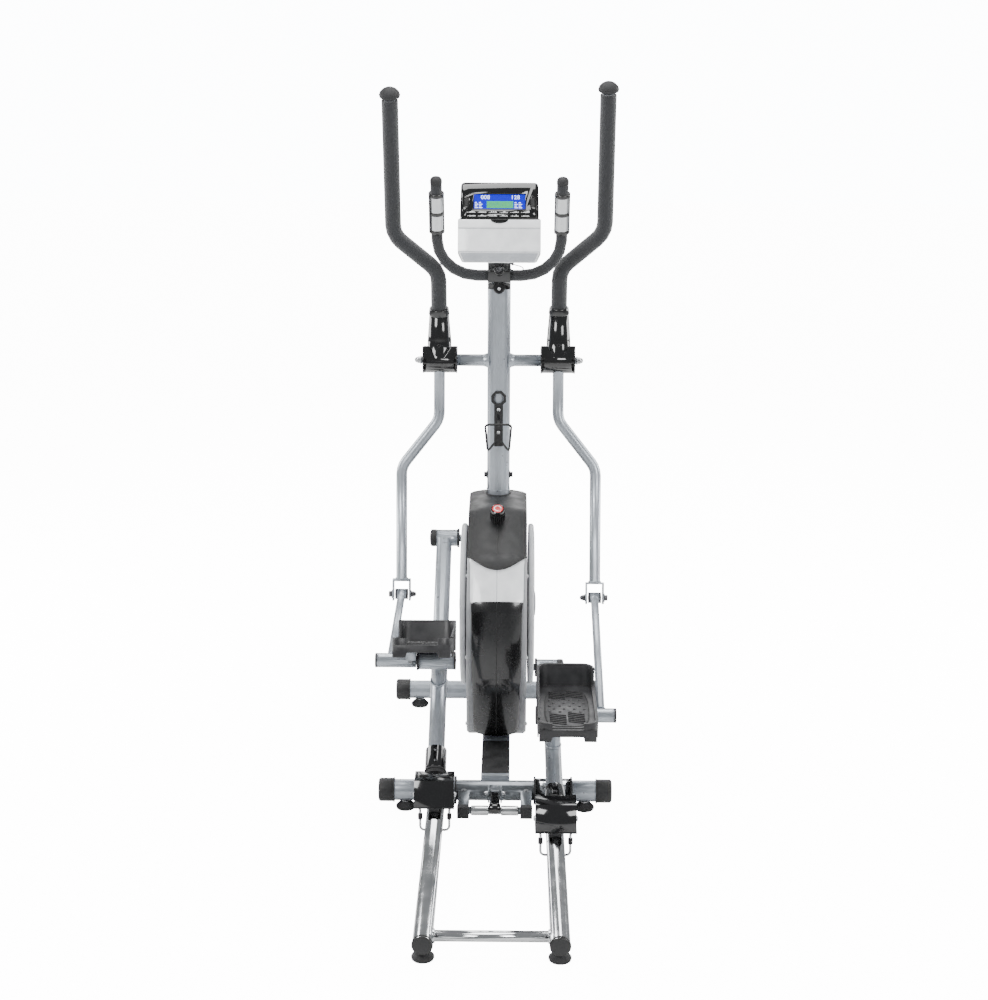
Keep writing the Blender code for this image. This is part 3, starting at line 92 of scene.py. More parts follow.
def facing(place, direction, turn=0.0):
    """A frame at a place whose Z looks along a direction, turned about it."""
    aim = UP.rotation_difference(Vector(direction).normalized()).to_matrix().to_4x4()
    return Matrix.Translation(place) @ aim @ Matrix.Rotation(turn, 4, "Z")


RAIL_X = middle("rail_cap_right").x
RAIL_Z = middle("rail_cap_right").z
ARM_PIVOT = hinge("left_arm_swing")


def linkage_frames(side, hand):
    """Frames of one side's carriage, pedal tube, pedal and handle at rest."""
    roller = hinge(f"{hand}_tube_pitch")
    hub = hinge(f"{hand}_pedal_tilt")
    reach = hub - roller
    pitch = math.atan2(reach.z, reach.y) - math.atan2(HUB_ABOVE, HUB_ALONG)
    away = ARM_PIVOT - hub
    span = away.length
    inner = math.acos((span ** 2 + LINK_LENGTH ** 2 - ARM_RADIUS ** 2) / (2 * span * LINK_LENGTH))
    link = math.atan2(away.z, away.y) - inner
    clevis_y = hub.y + LINK_LENGTH * math.cos(link)
    arm = math.asin((clevis_y - ARM_PIVOT.y) / ARM_RADIUS)
    on_rail = Matrix.Translation((side * RAIL_X, roller.y, roller.z))
    return {
        "carriage": on_rail,
        "tube": on_rail @ Matrix.Rotation(pitch, 4, "X"),
        "pedal": Matrix.Translation(hub) @ Matrix.Rotation(link, 4, "X"),
        "arm": Matrix.Translation(ARM_PIVOT) @ Matrix.Rotation(arm, 4, "X"),
    }


PLACES = {hand: linkage_frames(side, hand) for side, hand in HANDS}


# Finishes

class Look:
    """A new finish with its shader set, and the patterns that it reads from its place on a piece."""

    def __init__(self, name, color, roughness, metallic=0.0, coat=0.0):
        self.finish = bpy.data.materials.new(name)
        self.finish.use_nodes = True
        self.tree = self.finish.node_tree
        self.shader = self.tree.nodes["Principled BSDF"]
        self.shader.inputs["Base Color"].default_value = (*color, 1)
        self.shader.inputs["Roughness"].default_value = roughness
        self.shader.inputs["Metallic"].default_value = metallic
        self.shader.inputs["Coat Weight"].default_value = coat
        self.shader.inputs["Coat Roughness"].default_value = 0.08
        self.place = self.tree.nodes.new("ShaderNodeTexCoord").outputs["Object"]

    def add(self, kind, **inputs):
        """A node with its inputs either set or linked."""
        node = self.tree.nodes.new(kind)
        for label, value in inputs.items():
            socket = node.inputs[label.replace("_", " ")]
            if isinstance(value, bpy.types.NodeSocket):
                self.tree.links.new(value, socket)
            else:
                socket.default_value = value
        return node

    def noise(self, scale, detail=4.0, place=None):
        """Value of a soft random pattern of a given fineness."""
        return self.add("ShaderNodeTexNoise", Vector=place or self.place, Scale=scale,
                        Detail=detail).outputs["Fac"]

    def cells(self, scale):
        """Distance pattern of packed cells."""
        return self.add("ShaderNodeTexVoronoi", Vector=self.place, Scale=scale).outputs["Distance"]

    def spread(self, value, low, high, start=0.3, stop=0.7):
        """A pattern's middle range stretched between two values."""
        return self.add("ShaderNodeMapRange", Value=value, From_Min=start, From_Max=stop,
                        To_Min=low, To_Max=high).outputs["Result"]

    def tint(self, value, dark, light):
        """Colour between two shades by a pattern."""
        node = self.add("ShaderNodeMix", Factor=value)
        node.data_type = "RGBA"
        node.inputs[6].default_value = (*dark, 1)
        node.inputs[7].default_value = (*light, 1)
        self.tree.links.new(node.outputs[2], self.shader.inputs["Base Color"])

    def roughen(self, value, low, high):
        """Roughness between two values by a pattern."""
        self.tree.links.new(self.spread(value, low, high), self.shader.inputs["Roughness"])

    def emboss(self, value, strength, depth):
        """Surface relief from a pattern."""
        node = self.add("ShaderNodeBump", Height=value, Strength=strength, Distance=depth)
        self.tree.links.new(node.outputs["Normal"], self.shader.inputs["Normal"])

    def total(self, first, second, share):
        """Two patterns added, the second by a share."""
        scaled = self.add("ShaderNodeMath")
        scaled.operation = "MULTIPLY_ADD"
        self.tree.links.new(second, scaled.inputs[0])
        scaled.inputs[1].default_value = share
        self.tree.links.new(first, scaled.inputs[2])
        return scaled.outputs[0]


def shade(color, factor):
    """A colour made lighter or darker."""
    return tuple(min(part * factor, 1.0) for part in color)


def powder_coat(name, color):
    """Metallic powder coat: fine orange peel, faint flake and cloudiness."""
    look = Look(name, color, 0.34, 0.62, 0.25)
    cloud = look.noise(14.0, 3.0)
    flake = look.cells(1500.0)
    look.tint(look.total(look.spread(cloud, 0.2, 0.8), flake, 0.25),
         shade(color, 0.90), shade(color, 1.08))
    look.roughen(look.noise(60.0), 0.27, 0.42)
    look.emboss(look.noise(420.0, 2.0), 0.12, 0.0006)
    return look.finish


def chrome_plate(name):
    """Bright chrome with wiped smudges and fine scratches."""
    color = (0.62, 0.63, 0.64)
    look = Look(name, color, 0.1, 1.0)
    smudge = look.noise(22.0, 6.0)
    look.tint(look.spread(smudge, 0.0, 1.0), shade(color, 0.93), shade(color, 1.05))
    look.roughen(smudge, 0.07, 0.22)
    stretched = look.add("ShaderNodeMapping", Vector=look.place)
    stretched.inputs["Scale"].default_value = (40.0, 900.0, 40.0)
    look.emboss(look.noise(1.0, 2.0, stretched.outputs["Vector"]), 0.03, 0.0003)
    return look.finish


def zinc_plate(name, color=(0.55, 0.56, 0.57)):
    """Plated steel of bolts, nuts and pins."""
    look = Look(name, color, 0.3, 1.0)
    cloud = look.noise(120.0, 5.0)
    look.tint(cloud, shade(color, 0.8), shade(color, 1.15))
    look.roughen(cloud, 0.2, 0.45)
    look.emboss(look.noise(900.0), 0.08, 0.0003)
    return look.finish


def foam(name, color):
    """Closed-cell foam: tiny open pores, a soft mottle and a slight sheen."""
    look = Look(name, color, 0.85)
    look.shader.inputs["Sheen Weight"].default_value = 0.4
    look.shader.inputs["Sheen Roughness"].default_value = 0.5
    pores = look.cells(620.0)
    mottle = look.noise(45.0, 5.0)
    look.tint(look.spread(mottle, 0.0, 1.0), shade(color, 0.78), shade(color, 1.25))
    look.roughen(mottle, 0.75, 0.95)
    look.emboss(look.total(pores, look.noise(1400.0), 0.5), 0.5, 0.0012)
    return look.finish


def gloss_plastic(name, color, low=0.06, high=0.16):
    """Polished moulding: faint swirls, dust haze and long moulding waves."""
    look = Look(name, color, low, 0.0, 0.6)
    haze = look.noise(30.0, 8.0)
    look.tint(look.spread(haze, 0.0, 1.0), shade(color, 0.92), shade(color, 1.10))
    look.roughen(haze, low, high)
    look.emboss(look.noise(26.0, 1.0), 0.05, 0.003)
    return look.finish


def grained_plastic(name, color, grain=900.0, roughness=0.5, scuffed=1.5):
    """Textured moulding: fine leather grain with scuffed high spots."""
    look = Look(name, color, roughness)
    scuff = look.noise(34.0, 7.0)
    look.tint(look.spread(scuff, 0.0, 1.0, 0.4, 0.75), shade(color, 0.95),
         shade(color, scuffed))
    look.roughen(scuff, roughness - 0.1, roughness + 0.14)
    relief = look.total(look.cells(grain), look.noise(grain / 4), 0.6)
    look.emboss(relief, 0.22, 0.0006)
    return look.finish


def moulded_rubber(name, color=(0.018, 0.018, 0.019)):
    """Dull rubber with a dusty bloom."""
    look = Look(name, color, 0.75)
    bloom = look.noise(55.0, 6.0)
    look.tint(look.spread(bloom, 0.0, 1.0, 0.45, 0.8), color, shade(color, 2.2))
    look.roughen(bloom, 0.62, 0.88)
    look.emboss(look.noise(700.0), 0.2, 0.0005)
    return look.finish


def cast_iron(name):
    """Painted casting with a coarse sand texture."""
    look = Look(name, (0.06, 0.062, 0.066), 0.55, 0.4)
    sand = look.noise(260.0, 8.0)
    look.tint(sand, (0.04, 0.042, 0.046), (0.10, 0.10, 0.105))
    look.roughen(sand, 0.4, 0.7)
    look.emboss(sand, 0.4, 0.0015)
    return look.finish


def lit_display(name, color, glow):
    """Backlit display film with a fine dot grid."""
    look = Look(name, color, 0.5)
    look.shader.inputs["Specular IOR Level"].default_value = 0.1
    look.shader.inputs["Emission Strength"].default_value = glow
    grid = look.cells(1100.0)
    look.tint(grid, shade(color, 0.8), shade(color, 1.2))
    look.shader.inputs["Emission Color"].default_value = (*color, 1)
    look.roughen(look.noise(18.0), 0.42, 0.56)
    return look.finish


SILVER = powder_coat("silver powder coat", (0.37, 0.40, 0.435))
# Painted shade: a darker copy of the silver powder coat, worn by the middle stabiliser and the latch lever's hood.
SILVER_PAINTED_SHADE = powder_coat("silver powder coat in painted shade", (0.21, 0.228, 0.245))
CHROME = chrome_plate("chrome plate")
ZINC = zinc_plate("zinc plate")
DARK_ZINC = zinc_plate("blackened steel", (0.10, 0.10, 0.105))
FOAM = foam("charcoal foam", (0.019, 0.020, 0.0225))
GLOSS_BLACK = gloss_plastic("gloss black moulding", (0.004, 0.004, 0.0045))
BLACK = grained_plastic("grained black moulding", (0.009, 0.009, 0.0095))
TREAD = grained_plastic("foot plate moulding", (0.018, 0.018, 0.0195), 600.0, 0.42)
GREY = grained_plastic("grey disc moulding", (0.58, 0.595, 0.61), 1300.0, 0.36, 1.03)
SIDE_GREY = grained_plastic("grey shell moulding", (0.30, 0.31, 0.322), 1300.0, 0.36, 1.03)
PALE = gloss_plastic("pale silver moulding", (0.89, 0.905, 0.92), 0.14, 0.26)
# A darker copy of the pale moulding: painted shade on the console's lower sloping face, and the seam lines of the
# console and pale panel.
PALE_SEAM_AND_SHADE = gloss_plastic("pale moulding for seams and painted shade", (0.42, 0.44, 0.47), 0.2, 0.3)
RUBBER = moulded_rubber("black rubber")
IRON = cast_iron("flywheel casting")
SATIN = gloss_plastic("satin black moulding", (0.0045, 0.0045, 0.005), 0.20, 0.30)
RED = gloss_plastic("red knob cap", (0.55, 0.012, 0.015), 0.2, 0.32)
WHITE = gloss_plastic("white print", (0.82, 0.83, 0.84), 0.3, 0.4)
DISPLAY = lit_display("blue display", (0.002, 0.003, 0.42), 0.55)
DIGIT = lit_display("display digits", (0.62, 0.72, 1.0), 1.6)
DOTS = lit_display("display dots", (0.05, 0.42, 0.06), 0.8)


def wear(node, finish):
    """Give a frame part its finish."""
    part = frame["nodes"][node]
    part.data.materials.clear()
    part.data.materials.append(finish)


# Modelling

SHELL_ANGLE = math.radians(34)      # edges sharper than this stay crisp
PIECE_ANGLE = math.radians(32)

BODY_OF = {node: body for body, nodes in frame["record"]["behaviour"]["bodies"].items()
           for node in nodes}


def soft_shell(node, finish, width):
    """A smooth merged copy that stands for a frame part, its edges rounded where there is a width."""
    source = frame["nodes"][node]
    bpy.ops.object.select_all(action="DESELECT")
    piece = bpy.data.objects.new(f"{node}_shell", source.data.copy())
    bpy.context.collection.objects.link(piece)
    piece.select_set(True)
    bpy.context.view_layer.objects.active = piece
    bpy.ops.object.mode_set(mode="EDIT")
    bpy.ops.mesh.select_all(action="SELECT")
    bpy.ops.mesh.remove_doubles(threshold=0.00003)
    if width:
        bpy.ops.mesh.dissolve_limited(angle_limit=math.radians(0.6))
    bpy.ops.mesh.select_all(action="SELECT")
    bpy.ops.mesh.normals_make_consistent(inside=False)
    bpy.ops.object.mode_set(mode="OBJECT")
    if width:
        soft = piece.modifiers.new("soft", "BEVEL")
        soft.width = width
        soft.segments = 2
        soft.limit_method = "ANGLE"
        soft.angle_limit = math.radians(38)
        bpy.ops.object.modifier_apply(modifier="soft")
    piece.data.materials.clear()
    piece.data.materials.append(finish)
    for face in piece.data.polygons:
        face.material_index = 0
    bpy.ops.object.shade_smooth_by_angle(angle=SHELL_ANGLE)
    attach(piece, BODY_OF[node])
    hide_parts(node)
    return piece


FRAME_LOOKS = {          # a finish, then the rounding of the shell's edges, or None for no shell
    "nose_cover": (SATIN, 0.0), "pale_panel": (PALE, 0.0), "top_cover": (BLACK, 0.0),
    "mast": (SILVER, 0.0), "pulse_bar": (FOAM, 0.0), "bar_clamp": (GLOSS_BLACK, 0.0014),
    "console_body": (PALE, 0.0024), "console_bezel": (GLOSS_BLACK, 0.0),
    # the middle stabiliser wears the silver in painted shade; silver bands cover its outer ends
    "rail_frame": (CHROME, 0.0), "middle_stabiliser": (SILVER_PAINTED_SHADE, 0.0),
    "front_stabiliser": (SILVER, 0.0), "base_frame": (SILVER, 0.0012),
    "latch_lever": (GLOSS_BLACK, 0.0012), "hand_grip": (FOAM, 0.0), "grip_cap": (RUBBER, 0.0),
    "arm_cover": (GLOSS_BLACK, 0.0), "swing_arm": (SILVER, 0.0), "pedal_tube": (SILVER, 0.0),
    "link_rod": (SILVER, 0.0), "casing": (SIDE_GREY, 0.0016), "crank_disc": (GREY, 0.0018),
    "carriage": (GLOSS_BLACK, 0.0024), "pedal": (TREAD, 0.0016), "middle_cap": (BLACK, 0.0012),
    "front_cap": (BLACK, 0.0012), "rail_cap": (BLACK, 0.0012), "pulse_sensor": (CHROME, 0.0),
    "bottle_cage": (BLACK, None), "tension_knob": (BLACK, None), "pulse_wire": (RUBBER, None),
    "console_screen": (DISPLAY, None), "crank_axle": (ZINC, None), "flywheel": (IRON, None),
    "drive_belt": (RUBBER, None), "middle_foot": (RUBBER, None), "front_foot": (RUBBER, None),
    "rail_foot": (RUBBER, None), "transport_wheel": (BLACK, None), "roller": (RUBBER, None),
    "console_key": (BLACK, None),
}


def bare_plates(piece, hand):
    """Zinc on the low outer faces of a carriage's shell."""
    piece.data.materials.append(ZINC)
    back = PLACES[hand]["carriage"].inverted()
    for face in piece.data.polygons:
        spot = back @ face.center
        face.material_index = int(spot.z < -0.0150 and abs(spot.x) > 0.026)


def dress_frame():
    """Finishes of the frame's parts, and soft shells over those whose curves or edges show."""
    for stem, (finish, width) in FRAME_LOOKS.items():
        for hand in [""] if stem in frame["nodes"] else ["left", "right"]:
            node = f"{stem}_{hand}" if hand else stem
            wear(node, finish)
            if width is not None:
                piece = soft_shell(node, finish, width)
                if stem == "carriage":
                    bare_plates(piece, hand)


def model(name):
    """Name the shape just added and open it for shaping, with all of it selected."""
    piece = bpy.context.object
    piece.name = name
    piece.data.name = name
    bpy.ops.object.mode_set(mode="EDIT")
    bpy.ops.mesh.select_all(action="SELECT")
    return piece


def start(name, primitive, **size):
    """Add a primitive at the origin and open it for shaping."""
    bpy.ops.object.select_all(action="DESELECT")
    primitive(location=(0, 0, 0), **size)
    return model(name)


def round_edges(width, steps=2, sharpness=30):
    """Bevel every sharp edge of the open shape."""
    bpy.ops.mesh.select_mode(type="EDGE")
    bpy.ops.mesh.select_all(action="DESELECT")
    bpy.ops.mesh.edges_select_sharp(sharpness=math.radians(sharpness))
    bpy.ops.mesh.bevel(offset=width, segments=steps, affect="EDGES")
    bpy.ops.mesh.select_mode(type="VERT")
    bpy.ops.mesh.select_all(action="SELECT")


def close_up(piece):
    """Merge doubles, turn the faces outward and leave edit mode."""
    bpy.ops.mesh.select_all(action="SELECT")
    bpy.ops.mesh.remove_doubles(threshold=0.00001)
    bpy.ops.mesh.normals_make_consistent(inside=False)
    bpy.ops.object.mode_set(mode="OBJECT")
    return piece


def fit(piece, finish, spots):
    """Put a finished shape, and copies with meshes of their own, in their places on the machine. A
    spot is a frame and the moving part that carries the piece."""
    piece.data.materials.clear()
    piece.data.materials.append(finish)
    rows = [piece]
    for _ in spots[1:]:
        twin = piece.copy()
        twin.data = piece.data.copy()
        bpy.context.collection.objects.link(twin)
        rows.append(twin)
    for item, (place, body) in zip(rows, spots):
        item.matrix_world = place
        bpy.ops.object.select_all(action="DESELECT")
        item.select_set(True)
        bpy.context.view_layer.objects.active = item
        bpy.ops.object.transform_apply(location=True, rotation=True, scale=True)
        bpy.ops.object.shade_smooth_by_angle(angle=PIECE_ANGLE)
        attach(item, body)


def turned(name, steps, sides=40, edge=0.0):
    """A turned solid: a disc drawn up Z through (radius, height) steps."""
    radius, height = steps[0]
    piece = start(name, bpy.ops.mesh.primitive_circle_add, vertices=sides, radius=radius,
                  fill_type="NGON")
    bpy.ops.transform.translate(value=(0, 0, height))
    for wide, high in steps[1:]:
        bpy.ops.mesh.extrude_region_move(TRANSFORM_OT_translate={"value": (0, 0, high - height)})
        bpy.ops.transform.resize(value=(wide / radius, wide / radius, 1),
                                 center_override=(0, 0, high))
        radius, height = wide, high
    if edge:
        round_edges(edge)
    return close_up(piece)


def ring(name, inner, outer, low, high, edge=0.0005, sides=48, turn=FULL_TURN):
    """A ring about Z: a rounded cross-section spun round."""
    piece = start(name, bpy.ops.mesh.primitive_plane_add, size=1)
    bpy.ops.transform.rotate(value=math.pi / 2, orient_axis="X", center_override=(0, 0, 0))
    bpy.ops.transform.resize(value=(outer - inner, 1, high - low), center_override=(0, 0, 0))
    bpy.ops.transform.translate(value=((inner + outer) / 2, 0, (low + high) / 2))
    bpy.ops.mesh.bevel(offset=edge, segments=3, affect="VERTICES")
    if turn == FULL_TURN:
        bpy.ops.mesh.delete(type="ONLY_FACE")
    bpy.ops.mesh.select_all(action="SELECT")
    bpy.ops.mesh.spin(steps=sides, angle=turn, center=(0, 0, 0), axis=(0, 0, 1))
    return close_up(piece)


def block(name, low, high, edge=0.001, steps=3):
    """A block with rounded edges."""
    low, high = Vector(low), Vector(high)
    piece = start(name, bpy.ops.mesh.primitive_cube_add, size=1)
    bpy.ops.transform.resize(value=tuple(high - low), center_override=(0, 0, 0))
    bpy.ops.transform.translate(value=tuple((low + high) / 2))
    round_edges(edge, steps)
    return close_up(piece)


def cutout(name, outline, thick, edge=0.0, steps=2):
    """A flat outline in X and Z, drawn back along Y into a plate, with rounded edges."""
    bpy.ops.object.select_all(action="DESELECT")
    bpy.ops.mesh.primitive_circle_add(vertices=len(outline), radius=1, fill_type="NGON",
                                      location=(0, 0, 0))
    piece = bpy.context.object
    for corner, (across, up) in zip(piece.data.vertices, outline):
        corner.co = (across, 0, up)
    model(name)
    bpy.ops.mesh.extrude_region_move(TRANSFORM_OT_translate={"value": (0, thick, 0)})
    if edge:
        round_edges(edge, steps)
    return close_up(piece)


def pick_faces(piece, wanted):
    """Select the faces of the open shape that a test accepts."""
    bpy.ops.mesh.select_all(action="DESELECT")
    bpy.ops.object.mode_set(mode="OBJECT")
    for face in piece.data.polygons:
        face.select = wanted(face)
    bpy.ops.object.mode_set(mode="EDIT")
    bpy.ops.mesh.select_mode(type="FACE")


def bead(name, points, radius, closed=False, sides=5):
    """A round bead or wire along a line."""
    line = bpy.data.curves.new(name, "CURVE")
    line.dimensions = "3D"
    line.bevel_depth = radius
    line.bevel_resolution = sides
    line.use_fill_caps = True
    spline = line.splines.new("POLY")
    spline.points.add(len(points) - 1)
    for knot, point in zip(spline.points, points):
        knot.co = (*point, 1)
    spline.use_cyclic_u = closed
    piece = bpy.data.objects.new(name, line)
    bpy.context.collection.objects.link(piece)
    bpy.ops.object.select_all(action="DESELECT")
    piece.select_set(True)
    bpy.context.view_layer.objects.active = piece
    bpy.ops.object.convert(target="MESH")
    piece = model(name)
    return close_up(piece)


def hex_bolt(name, size):
    """A hexagon head with a chamfered, dished face, on its washer."""
    piece = start(name, bpy.ops.mesh.primitive_cylinder_add, vertices=6, radius=size,
                  depth=size * 0.8)
    bpy.ops.transform.translate(value=(0, 0, size * 0.65))
    pick_faces(piece, lambda face: face.normal.z > 0.9)
    bpy.ops.mesh.inset(thickness=size * 0.14, depth=size * 0.10)
    bpy.ops.mesh.inset(thickness=size * 0.20, depth=-size * 0.06)
    bpy.ops.mesh.primitive_cylinder_add(vertices=32, radius=size * 1.35, depth=size * 0.25,
                                        location=(0, 0, size * 0.125))
    bpy.ops.mesh.select_mode(type="VERT")
    return close_up(piece)


def screw(name, radius):
    """A pan-head screw with a socket."""
    shape = ((1, 0), (1, 0.25), (0.85, 0.55), (0.5, 0.72), (0.42, 0.74), (0.34, 0.30))
    return turned(name, [(radius * wide, radius * high) for wide, high in shape], 24)


def domed_nut(name, size):
    """An acorn nut with its collar."""
    shape = ((1.3, 0), (1.3, 0.25), (1, 0.3), (1, 1), (0.85, 1.15), (0.78, 1.5), (0.5, 1.85),
             (0.2, 1.95))
    return turned(name, [(size * wide, size * high) for wide, high in shape], 24)


# Handles, mast and crossbar

CROSSBAR_Y, CROSSBAR_Z = ARM_PIVOT.yz
HUB_NEAR = 0.1085        # handle barrel from the middle
HUB_FAR = 0.1985
HUB_MIDDLE = (HUB_NEAR + HUB_FAR) / 2
BARREL_RADIUS = 0.033
ARM_TUBE_HOLE = 0.0206
NECK_TOP = 0.131
NECK_RADIUS = 0.0245


def on_both(part, local):
    """Spots for the same local place on the left and right, mirrored across the middle."""
    return [(PLACES[hand][part] @ local(side), f"{part}_{hand}") for side, hand in HANDS]


def on_frame(local):
    """Spots for the same place on both sides of the fixed frame."""
    return [(local(side), "root") for side, _ in HANDS]


def fixed(x=0, y=0, z=0):
    """One spot on the fixed frame."""
    return [(Matrix.Translation((x, y, z)), "root")]


def outward(x, y, z, way=1):
    """A mirrored place for on_both or on_frame that looks away from the middle, or to it with -1."""
    return lambda side: facing((side * x, y, z), RIGHT * side * way)


def mirrored(x, y, z):
    """A mirrored place for on_both or on_frame, unturned."""
    return lambda side: Matrix.Translation((side * x, y, z))


def handle_hubs():
    """Collar, shoulders, socket screw and end rims of each handle's pivot cover."""
    back = -ARM_LEAN * (NECK_TOP - ARM_LEAN_START)
    lean = Vector((0, -ARM_LEAN, 1))
    fit(neck_lip(), GLOSS_BLACK,
        on_both("arm", lambda side: facing((side * ARM_LEG_X, back, NECK_TOP), lean)))
    half = (HUB_FAR - HUB_NEAR) / 2
    outline = [(-half, 0.036), (-half + 0.016, 0.036), (-0.004, -0.004), (0.004, -0.004),
               (half - 0.016, 0.036), (half, 0.036), (half, -0.010), (-half, -0.010)]
    shoulders = cutout("hub_shoulders", outline, 2 * BARREL_RADIUS - 0.001, 0.0022, 3)
    fit(shoulders, GLOSS_BLACK, on_both("arm", mirrored(HUB_MIDDLE, -BARREL_RADIUS + 0.0005, 0)))
    fit(ring("hub_socket", 0.0028, 0.0048, -0.002, 0.0012), BLACK,
        on_both("arm", lambda side: facing((side * ARM_LEG_X, -0.0308, 0.037), -AHEAD)))
    rim = ring("hub_rim", ARM_TUBE_HOLE, BARREL_RADIUS + 0.0012, -0.002, 0.002, 0.0009)
    fit(rim, GLOSS_BLACK, on_both("arm", outward(HUB_NEAR + 0.002, 0, 0))
        + on_both("arm", outward(HUB_FAR - 0.002, 0, 0)))
    fit(domed_nut("spindle_nut", 0.0088), ZINC, on_frame(outward(0.2025, CROSSBAR_Y, CROSSBAR_Z)))


def neck_lip():
    """The flared lip that the foam enters at the top of a neck, drawn in at its top edge."""
    piece = ring("neck_lip", 0.0208, NECK_RADIUS + 0.0024, -0.013, 0.005, 0.0018)
    bpy.ops.object.mode_set(mode="EDIT")
    bpy.ops.mesh.select_mode(type="VERT")
    bpy.ops.mesh.select_all(action="DESELECT")
    bpy.ops.object.mode_set(mode="OBJECT")
    for corner in piece.data.vertices:
        corner.select = corner.co.z > 0.003 and corner.co.xy.length > NECK_RADIUS
    bpy.ops.object.mode_set(mode="EDIT")
    bpy.ops.transform.resize(value=(0.93, 0.93, 1), center_override=(0, 0, 0.005))
    bpy.ops.object.mode_set(mode="OBJECT")
    return piece


def clevises():
    """Bolt, nut and bushes of each lower pivot between handle and pedal link."""
    reach = 0.0242
    fit(hex_bolt("clevis_bolt", 0.0085), DARK_ZINC,
        on_both("arm", outward(LINK_X + reach, 0, -ARM_RADIUS)))
    fit(domed_nut("clevis_nut", 0.0075), DARK_ZINC,
        on_both("arm", outward(LINK_X - reach, 0, -ARM_RADIUS, -1)))
    spots = []
    for face in (-1, 1):
        spots += on_both("pedal", lambda side, face=face: facing(
            (side * LINK_X, LINK_LENGTH, 0), RIGHT * face))
    fit(ring("clevis_bush", 0.0053, 0.0142, 0.0127, 0.0168, 0.001), RUBBER, spots)
    fit(ring("arm_weld", 0.0135, 0.0168, -0.003, 0.003, 0.0012), SILVER,
        on_both("arm", mirrored(LINK_X, 0, -ARM_RADIUS + 0.041)))


def mast_fittings():
    """Weld fillets of the crossbar, the joint bolts and the collar at the casing."""
    flare = turned("crossbar_weld", [(0.0225, 0.0250), (0.0195, 0.0300), (0.0172, 0.0345),
                                     (0.0160, 0.0400)], 32)
    fit(flare, SILVER, on_frame(outward(0, CROSSBAR_Y, CROSSBAR_Z)))
    fit(hex_bolt("mast_bolt", 0.0072), DARK_ZINC, on_frame(outward(0.0298, CROSSBAR_Y, 0.694)))
    fit(ring("mast_seam", 0.0301, 0.0313, 0.655, 0.657, 0.0004), SILVER, fixed(y=CROSSBAR_Y))
    fit(ring("mast_boot", 0.0302, 0.0345, 0.636, 0.645, 0.0018), RUBBER, fixed(y=CROSSBAR_Y))


def cage_fittings():
    """Screws of the bottle cage, and a gloss black block of painted shade in its long slot."""
    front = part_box("bottle_cage")[1].y - 0.0063
    fit(screw("cage_screw", 0.0052), ZINC,
        [(facing((0, front, z), -AHEAD), "root") for z in (0.876, 0.815)])
    # Painted shade: a thin gloss black block stands for the dark inside of the slot.
    slot = block("cage_slot_shade", (-0.0035, -0.0012, 0.829), (0.0035, 0.001, 0.862), 0.0008, 2)
    fit(slot, GLOSS_BLACK, fixed(y=front))


# Pulse bar, clamp and console

BAR_TOP = Vector((0, 0.455, 1.470))
BAR_FOOT = Vector((0, 0.541, 1.228))
BAR_HALF = 0.157
BAR_RADIUS = 0.0145
SENSOR_START = 0.033     # sensor below the bar's tip
SENSOR_LENGTH = 0.098


def pulse_sensors():
    """Black bezels around the two steel plates of each sensor, and the bar's domed plugs."""
    down = (BAR_FOOT - BAR_TOP).normalized()
    collars, bands, strips, plugs = [], [], [], []
    for side, _ in HANDS:
        tip = BAR_TOP + RIGHT * side * BAR_HALF
        for along in (SENSOR_START, SENSOR_START + SENSOR_LENGTH):
            collars.append((facing(tip + down * along, down), "root"))
        bands.append((facing(tip + down * (SENSOR_START + SENSOR_LENGTH / 2), down), "root"))
        plugs.append((facing(tip, -down), "root"))
        for turn in (math.pi / 2, -math.pi / 2):
            strips.append((facing(tip + down * SENSOR_START, down, turn), "root"))
    fit(ring("sensor_collar", BAR_RADIUS + 0.0006, BAR_RADIUS + 0.0052, -0.005, 0.005, 0.0018),
        GLOSS_BLACK, collars)
    fit(ring("sensor_band", BAR_RADIUS + 0.003, BAR_RADIUS + 0.0046, -0.0045, 0.0045, 0.0007),
        GLOSS_BLACK, bands)
    strip = block("sensor_strip", (-0.0062, BAR_RADIUS + 0.0012, 0),
                  (0.0062, BAR_RADIUS + 0.0048, SENSOR_LENGTH), 0.0014)
    fit(strip, GLOSS_BLACK, strips)
    plug = turned("bar_plug", [(0.0152, -0.003), (0.0152, 0.004), (0.0139, 0.0085),
                               (0.0108, 0.0118), (0.006, 0.0136), (0.0015, 0.0142)], 32)
    fit(plug, RUBBER, plugs)


def clamp_fittings():
    """Horns, centre nut and lower tab of the bar clamp."""
    horn = cutout("clamp_horn", [(0.011, 1.256), (0.0285, 1.256), (0.0285, 1.283),
                                 (0.020, 1.279), (0.014, 1.268)], 0.022, 0.0018, 3)
    half_turn = Matrix.Rotation(math.pi, 4, "Z")
    fit(horn, GLOSS_BLACK, fixed(y=0.534)
        + [(half_turn @ Matrix.Translation((0, -0.556, 0)), "root")])
    aim = Vector((0, -1, 0.45))
    boss = turned("clamp_boss", [(0.0145, -0.012), (0.0145, 0.0035), (0.0125, 0.0052),
                                 (0.0105, 0.0052), (0.0098, 0.002)], 36, 0.0006)
    fit(boss, GLOSS_BLACK, [(facing((0, 0.5185, 1.2440), aim), "root")])
    fit(hex_bolt("clamp_nut", 0.0070), DARK_ZINC, [(facing((0, 0.5170, 1.2446), aim), "root")])
    tab = turned("clamp_tab", [(0.0150, -0.008), (0.0150, 0.0035), (0.0130, 0.0052)], 36)
    fit(tab, GLOSS_BLACK, [(facing((0, 0.5405, 1.1960), -AHEAD), "root")])
    fit(screw("clamp_screw", 0.0045), ZINC, [(facing((0, 0.5355, 1.1945), -AHEAD), "root")])


